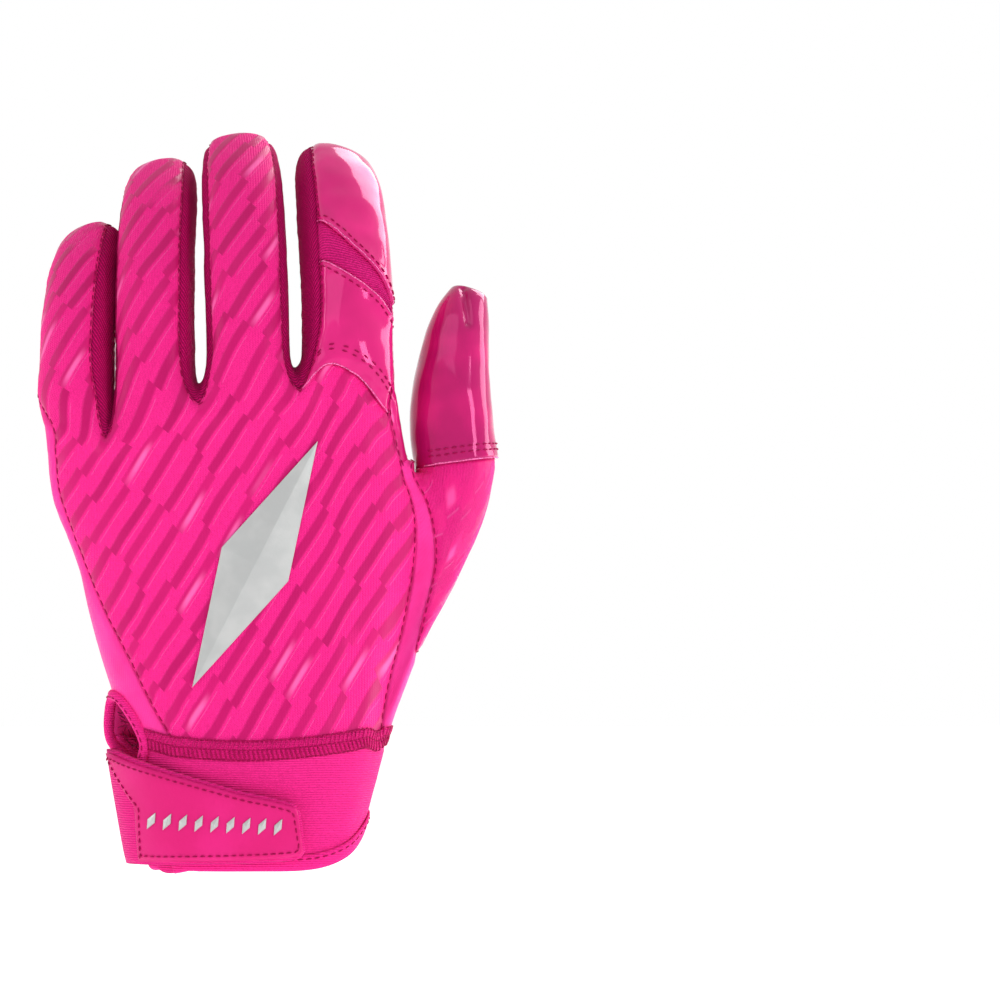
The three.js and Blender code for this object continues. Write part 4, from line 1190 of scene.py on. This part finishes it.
def grid_piece(name, rows, material, slot, nodes=(), wall=0.0, closed_rows=False):
    """A surface through rows of points, with a wall inside it if it has one."""
    count = len(rows[0])
    faces = grid_faces(rows, closed_rows)
    if closed_rows:
        faces.append([r * count for r in range(len(rows))])
        faces.append([r * count + count - 1 for r in range(len(rows))][::-1])
    places = [divmod(index, count) for face in faces for index in face]
    grain = [(c * grid_grain[0], r * grid_grain[1]) for r, c in places]
    piece = new_piece(name, [point for row in rows for point in row], faces, material, grain)
    if wall:
        add_wall(piece, wall)
    else:
        turn_outwards(piece.data)
    finish_piece(piece, slot, *nodes)
    return piece


tape_cloth = cuff_jersey("tape_jersey", colour(222, 30, 122), colour(168, 14, 84))
profile = [(-0.5, 0.0001), (-0.46, 0.85), (-0.25, 1.0), (0, 0.8), (0.25, 1.0), (0.46, 0.85), (0.5, 0.0001)]
tape_rows = [[p for p, n in across_seam(tape_samples, share * tape_width, tape_gap + rise * tape_height)]
             for share, rise in profile]
tape_rows.append([p for p, n in across_seam(tape_samples, 0, -tape_sink)])
grid_piece("wrist_tape_cloth", tape_rows, tape_cloth, "trim", ["wrist_tape"], closed_rows=True)
for offset, lean, tone, label in ((0.0014, 1.25, thread, "upper"), (-0.0013, 1.85, dark_thread, "lower")):
    row = across_seam(evenly(wrist_run, overlock_pitch), offset, tape_gap + tape_height)
    row = [(p + n * random.uniform(-overlock_stray, overlock_stray), n) for p, n in row]
    sew(f"overlock_{label}", row, overlock_stitch, overlock_thread, tone, lean=lean, sink=0.45, wide=1.2)
for offset in (0.0001, 0.0026, -0.0026):
    row = across_seam(evenly(wrist_run, line_pitch), offset, tape_gap + tape_height * 0.9)
    sew(f"overlock_line_{round(offset * 10000) + 30}", row, line_stitch, line_thread, dark_thread, sink=0.4)

# The hem: a strip of the same cloth folded round the cuff's lower edge and sewn through once, with
# one row of small stitches below its upper edge.
hem_height_up, hem_cloth_thickness, hem_pitch = 0.0042, 0.0007, 0.0015
hem_seam_pitch, hem_stitch, hem_thread, hem_seam_share = 0.0024, 0.0017, 0.00045, 0.72
free_edges = [edge for edge, owners in edge_owners.items() if len(owners) == 1]
slit_side, hem_foot, hem_end_steps = -0.024, 0.0006, 5


def on_hem(index):
    point = skin_points[index]
    return point.x > slit_side or point.z < hem_foot


hem_edges = [edge for edge in free_edges if on_hem(edge[0]) and on_hem(edge[1])]
hem_samples = evenly(max(runs_of(hem_edges), key=len), hem_pitch)[hem_end_steps:-hem_end_steps]
hem_profile = [
    (1.0, 0.25), (0.97, 0.95), (0.80, 1.05), (0.30, 1.1), (0.04, 0.9), (-0.04, 0.0), (-0.06, -1.6),
    (-0.04, -3.6), (0.04, -4.6), (0.30, -4.8), (0.97, -4.6), (1.0, -4.0), (0.4, -3.7), (0.06, -3.0),
    (0.02, -1.6), (0.06, -0.4), (0.4, 0.05),
]
hem_frames = [(point, upwards(normal, along), normal)
              for (point, normal), along in zip(hem_samples, tangents(hem_samples))]
hem_rows = [[point + up * share * hem_height_up + normal * out * hem_cloth_thickness
             for point, up, normal in hem_frames] for share, out in hem_profile]
hem_cloth = cuff_jersey("hem_jersey", colour(248, 44, 146), colour(212, 26, 112))
grid_piece("hem_cloth", hem_rows, hem_cloth, "trim", ["hem_binding"], closed_rows=True)
hem_seam = [(point + up * hem_height_up * hem_seam_share + normal * hem_cloth_thickness, normal)
            for (point, up, normal) in hem_frames]
sew("hem_stitches", evenly(hem_seam, hem_seam_pitch), hem_stitch, hem_thread, dark_thread, sink=0.25)

# The slit on the pinky side: a rolled binding runs round its edge, and the hand behind it is lined
# with soft loops, which lie in shade; their deep colour is painted shade as well.
binding_width, binding_pitch, binding_turns = 0.0030, 0.0011, 14
binding_inset, binding_foot = 0.2, 0.45
binding_seam_pitch, binding_stitch, binding_thread = 0.0022, 0.0015, 0.0004
pile_reach, pile_top, pile_depths = 0.030, 0.008, (0.0022, 0.0036)
loop_count, loop_length, loop_thickness, loop_stray = 1500, 0.0026, 0.0003, 0.0012
slit_edges = [edge for edge in free_edges if not (on_hem(edge[0]) and on_hem(edge[1]))]
slit_run = max(runs_of(slit_edges), key=len)
slit_samples = [place for place in evenly(slit_run, binding_pitch) if place[0].z > binding_foot * cuff_height]
slit_middle = sum((point for point, normal in slit_samples), Vector()) / len(slit_samples)
binding_frames = []
for (point, normal), along in zip(slit_samples, tangents(slit_samples)):
    side = normal.cross(along).normalized()
    inwards = 1 if side.dot(slit_middle - point) > 0 else -1
    binding_frames.append((point + side * inwards * binding_inset * binding_width, normal, side))
binding_rows = []
for k in range(binding_turns):
    turn = k * 2 * math.pi / binding_turns
    binding_rows.append([point + (normal * math.cos(turn) + side * math.sin(turn)) * binding_width / 2
                         for point, normal, side in binding_frames])
grid_piece("slit_binding_cloth", binding_rows, hem_cloth, "trim", ["slit_binding"], closed_rows=True)
binding_row = [(point + normal * binding_width / 2, normal) for point, normal, side in binding_frames]
sew("binding_stitches", evenly(binding_row, binding_seam_pitch), binding_stitch, binding_thread, dark_thread,
    sink=0.3)
pile = []
near_slit = [i for i, point in enumerate(skin_points)
             if (point - slit_middle).length < pile_reach and point.z < slit_middle.z + pile_top]
for k in range(loop_count):
    i = random.choice(near_slit)
    stray = Vector([random.uniform(-loop_stray, loop_stray) for axis in range(3)])
    turned = Vector([random.uniform(-1, 1) for axis in range(3)]).normalized()
    pile.append((skin_points[i] - skin_normals[i] * random.uniform(*pile_depths) + stray, turned))
# The loops' deep colour is painted shade of the slit's inside.
loop_thread = thread_finish("loop_thread", colour(120, 4, 56))
sew("slit_loops", pile, loop_length, loop_thickness, loop_thread, lean=0.6)

# The strap: a band of cuff jersey, sewn on under the palm side, that wraps the slit. Its tab
# carries a smooth film face, stitched round the border, with a row of small raised lozenges.
strap_thickness, strap_stand_off, strap_crown = 0.0018, 0.0034, 0.0003
hem_thickness, strap_gap = 0.0011, 0.0009
strap_steps, strap_rows = 84, 16
face_thickness, face_margin, face_border = 0.0008, 0.0009, 0.0014
face_foot, face_waist, face_shoulder, face_waist_share, face_end = -62, -58, -80, 0.55, 18.5
face_seam_insets = (3, 2)    # degrees in from the face's two ends
face_seam_pitch, face_stitch, face_thread = 0.0021, 0.0015, 0.00048
Station = namedtuple("Station", "angle low high off")
strap_stations = [
    Station(-152, 0.12, 0.74, 0), Station(-138, 0.08, 0.80, 0.3), Station(-122, 0.06, 0.86, 0.8),
    Station(-105, 0.05, 0.92, 1), Station(-88, 0.045, 0.95, 1), Station(-72, 0.045, 0.94, 0.8),
    Station(-57, 0.045, 0.88, 0.5), Station(-42, 0.045, 0.82, 0.2), Station(-28, 0.05, 0.76, 0),
    Station(-14, 0.055, 0.695, 0), Station(0, 0.065, 0.62, 0), Station(12, 0.08, 0.56, 0),
    Station(17.5, 0.10, 0.53, 0), Station(20, 0.15, 0.47, 0),
]
strap_base = hem_thickness + strap_gap
strap_lead, strap_lead_from, strap_lead_over = 4, -60, 70


def cuff_point(angle, z, off):
    share = clamp(1 - z / cuff_height, 0, 1)
    half = wrist_width / 2 - cuff_taper * share
    half_depth = wrist_depth / 2 * half / (wrist_width / 2)
    side, depth = section_point(angle, half, half_depth)
    before = section_point(angle - 2, half, half_depth)
    after = section_point(angle + 2, half, half_depth)
    out = Vector((after[1] - before[1], before[0] - after[0], 0)).normalized()
    return Vector((lerp(wrist_centre, hem_centre, share) + side, depth, z)) + out * off, out


def station_at(angle):
    """The strap's edges at any angle, between the rows of the table."""
    for first, second in zip(strap_stations, strap_stations[1:]):
        if angle <= second.angle:
            share = clamp((angle - first.angle) / (second.angle - first.angle), 0, 1)
            return [lerp(a, b, share) for a, b in zip(first, second)]
    return list(strap_stations[-1])


def strap_place(angle, share, off, margin):
    """A place on the strap: share is 0 at its lower edge and 1 at its upper."""
    _, low, high, stand = station_at(angle)
    z = lerp(low * cuff_height + margin, high * cuff_height - margin, share)
    lead = strap_lead * (0.5 - share) * ease(clamp((angle - strap_lead_from) / strap_lead_over, 0, 1))
    return cuff_point(angle + lead, z, off + stand * (strap_stand_off - strap_base))


def strap_layer(start_at, end, off, margin):
    """Rows of points along the strap, from start_at to end, slightly crowned across."""
    layer = []
    for r in range(strap_rows + 1):
        share = r / strap_rows
        rise = strap_crown * (1 - abs(2 * share - 1) ** 6)
        angles = [lerp(start_at(share), end, c / strap_steps) for c in range(strap_steps + 1)]
        layer.append([strap_place(angle, share, off + rise, margin)[0] for angle in angles])
    return layer


def face_start(share):
    """The left end of the face stands upright, and leans out to the strap's corner near the top."""
    if share < face_waist_share:
        return lerp(face_foot, face_waist, share / face_waist_share)
    return lerp(face_waist, face_shoulder, (share - face_waist_share) / (1 - face_waist_share))


strap_top = strap_base + strap_thickness
strap_first, strap_last = strap_stations[0].angle, strap_stations[-1].angle
strap_cloth = cuff_jersey("strap_jersey", colour(240, 38, 138), colour(186, 18, 96))
strap_outside = strap_layer(lambda share: strap_first, strap_last, strap_top - strap_crown, 0)
strap = grid_piece("strap_cloth", strap_outside, strap_cloth, "cuff_knit", ["strap_band"],
                   wall=strap_thickness)


def strap_film():
    finish = Finish("strap_film", specular_ior_level=0.4, specular_tint=gloss_tint)
    cloud = finish.noise(0.014, 2.0)
    pebble = finish.noise(0.0006, 2.0)
    base = finish.mix(cloud.between(0.45, 1.5, 0.2), colour(214, 30, 118), colour(206, 24, 108))
    relief = finish.bump(pebble, 0.00003)
    return finish.surface(base_color=base, roughness=0.42 + pebble * 0.1, normal=relief)


face_top = strap_top + strap_crown + face_thickness
face_rows = strap_layer(face_start, face_end, face_top - strap_crown, face_margin)
face = grid_piece("strap_face_film", face_rows, strap_film(), "strap_film", ["strap_face"],
                  wall=face_thickness)
seam_end = face_end - face_seam_insets[1]


def seam_start(share):
    return face_start(share) + face_seam_insets[0]


border = [(lerp(seam_start(0), seam_end, k / 40), 0) for k in range(41)]
border += [(seam_end, k / 10) for k in range(1, 11)]
border += [(lerp(seam_end, seam_start(1), k / 40), 1) for k in range(1, 41)]
border += [(seam_start(1 - k / 20), 1 - k / 20) for k in range(1, 21)]
face_seam = [strap_place(angle, share, face_top, face_margin + face_border) for angle, share in border]
sew("face_stitches", evenly(face_seam, face_seam_pitch), face_stitch, face_thread, dark_thread, sink=0.2)

# The badge on the back of the hand and the small lozenges on the strap: silver-grey moulded
# plastic, cut in four facets that rise to a point in the middle.


def silver_moulding():
    finish = Finish("silver_moulding", specular_ior_level=0.5, metallic=0.45)
    cloud = finish.noise(0.006, 2.0)
    fine = finish.noise(0.0005, 1.0)
    base = finish.mix(cloud.between(0.45, 1.5, 0.2) * 0.5, colour(180, 181, 180), colour(160, 162, 162))
    relief = finish.bump(fine, 0.00002)
    return finish.surface(base_color=base, roughness=0.36 + cloud * 0.1, normal=relief)


silver = silver_moulding()
soft_edge, soft_edge_angle = 0.22, math.radians(14)


def lozenge(name, place_on, length, width, rim, height, rows):
    """A four-facet lozenge laid on a surface: place_on gives a point and normal for along and across."""
    bpy.ops.object.select_all(action="DESELECT")
    bpy.ops.mesh.primitive_circle_add(vertices=4, radius=1, fill_type="TRIFAN")
    piece = bpy.context.object
    piece.name = piece.data.name = name
    bpy.ops.object.mode_set(mode="EDIT")
    bpy.ops.mesh.select_all(action="SELECT")
    bpy.ops.mesh.subdivide(number_cuts=rows)
    bpy.ops.mesh.extrude_region_move(TRANSFORM_OT_translate={"value": (0, 0, 1)})
    bpy.ops.object.mode_set(mode="OBJECT")
    for vertex in piece.data.vertices:
        across, along, top = vertex.co
        rise = rim + (height - rim) * max(0, 1 - abs(across) - abs(along)) if top > 0.5 else 0
        point, normal = place_on(along * length / 2, across * width / 2)
        vertex.co = point + normal * rise
    turn_outwards(piece.data)
    piece.data.materials.append(silver)
    bevel = piece.modifiers.new("soft_edges", "BEVEL")
    bevel.width = rim * soft_edge
    bevel.segments = 2
    bevel.limit_method = "ANGLE"
    bevel.angle_limit = soft_edge_angle
    return piece


badge_length, badge_width, badge_height, badge_rim, badge_rows = 0.074, 0.020, 0.0026, 0.0009, 14
badge_tilt = math.radians(27)
badge_x, badge_z = wrist_centre, cuff_height + 0.53 * palm_length


def behind(tree, x, z, along, across):
    """Where a place on a tilted lozenge, with its middle at x and z, comes down on a surface."""
    x += across * math.cos(badge_tilt) + along * math.sin(badge_tilt)
    z += along * math.cos(badge_tilt) - across * math.sin(badge_tilt)
    return tree.ray_cast(Vector((x, in_front, z)), backwards)[:2]


def on_back(along, across):
    return behind(surfaces["back_panel"], badge_x, badge_z, along, across)[0], -backwards


badge_piece = lozenge("badge_moulding", on_back, badge_length, badge_width, badge_rim, badge_height,
                      badge_rows)
finish_piece(badge_piece, "moulding", "badge")

mark_count, mark_rows = 9, 1
mark_length, mark_width, mark_height, mark_rim = 0.0050, 0.0021, 0.0007, 0.00035
mark_from, mark_to = (-0.0248, 0.0135), (0.0090, 0.0120)
face_tree = BVHTree.FromPolygons([p for row in face_rows for p in row], grid_faces(face_rows))
for k in range(mark_count):
    mark_x, mark_z = [lerp(first, last, k / (mark_count - 1)) for first, last in zip(mark_from, mark_to)]

    def on_face(along, across):
        return behind(face_tree, mark_x, mark_z, along, across)

    mark = lozenge(f"strap_mark_{k + 1}", on_face, mark_length, mark_width, mark_rim, mark_height, mark_rows)
    finish_piece(mark, "moulding")

# A plain studio: a pale floor below the glove, white surroundings, and soft boxes on both sides, above
# and behind. The strips stand upright, so that the film shows long highlights. The surroundings are
# seen at full strength, and shed less light than that, so that shaded cloth stays deep.
floor_drop = 0.06
bpy.ops.object.select_all(action="DESELECT")
bpy.ops.mesh.primitive_plane_add(size=8, location=(0, 0, -floor_drop))
floor = bpy.context.object
floor.name = "floor"
floor_finish = Finish("pale_floor", specular_ior_level=0.1, roughness=0.9, emission_strength=0.74,
                      emission_color=(1, 1, 1, 1))
floor.data.materials.append(floor_finish.surface(base_color=(0.93, 0.93, 0.93, 1)))

Light = namedtuple("Light", "name place size power")
glove_middle = Vector((0.006, 0, 0.1))
lights = [
    Light("key", (1.45, -1.3, 0.6), (0.5, 0.8), 11),
    Light("strip_right", (1.3, 0.35, 0.35), (0.5, 1.2), 9),
    Light("strip_left", (-1.25, -0.2, 0.2), (0.3, 1.3), 6),
    Light("top", (-0.4, -1.0, 1.5), (1.6, 1.0), 7),
    Light("high_right", (0.8, 0.95, 1.05), (0.9, 0.9), 12),
]
for light in lights:
    bpy.ops.object.light_add(type="AREA", location=light.place)
    lamp = bpy.context.object
    lamp.name = light.name
    lamp.data.shape = "RECTANGLE"
    lamp.data.size, lamp.data.size_y = light.size
    lamp.data.energy = light.power
    lamp.rotation_euler = (glove_middle - Vector(light.place)).to_track_quat("-Z", "Y").to_euler()
seen_strength, shed_strength = 1.0, 0.35
world = bpy.data.worlds.new("studio")
bpy.context.scene.world = world
world.use_nodes = True
surroundings = world.node_tree.nodes["Background"]
surroundings.inputs["Color"].default_value = (1, 1, 1, 1)
seen = world.node_tree.nodes.new("ShaderNodeLightPath")
strength = world.node_tree.nodes.new("ShaderNodeMath")
strength.operation = "MULTIPLY_ADD"
strength.inputs[1].default_value = shed_strength - seen_strength
strength.inputs[2].default_value = seen_strength
world.node_tree.links.new(seen.outputs["Is Diffuse Ray"], strength.inputs[0])
world.node_tree.links.new(strength.outputs[0], surroundings.inputs["Strength"])
bpy.context.scene.view_settings.view_transform = "Standard"
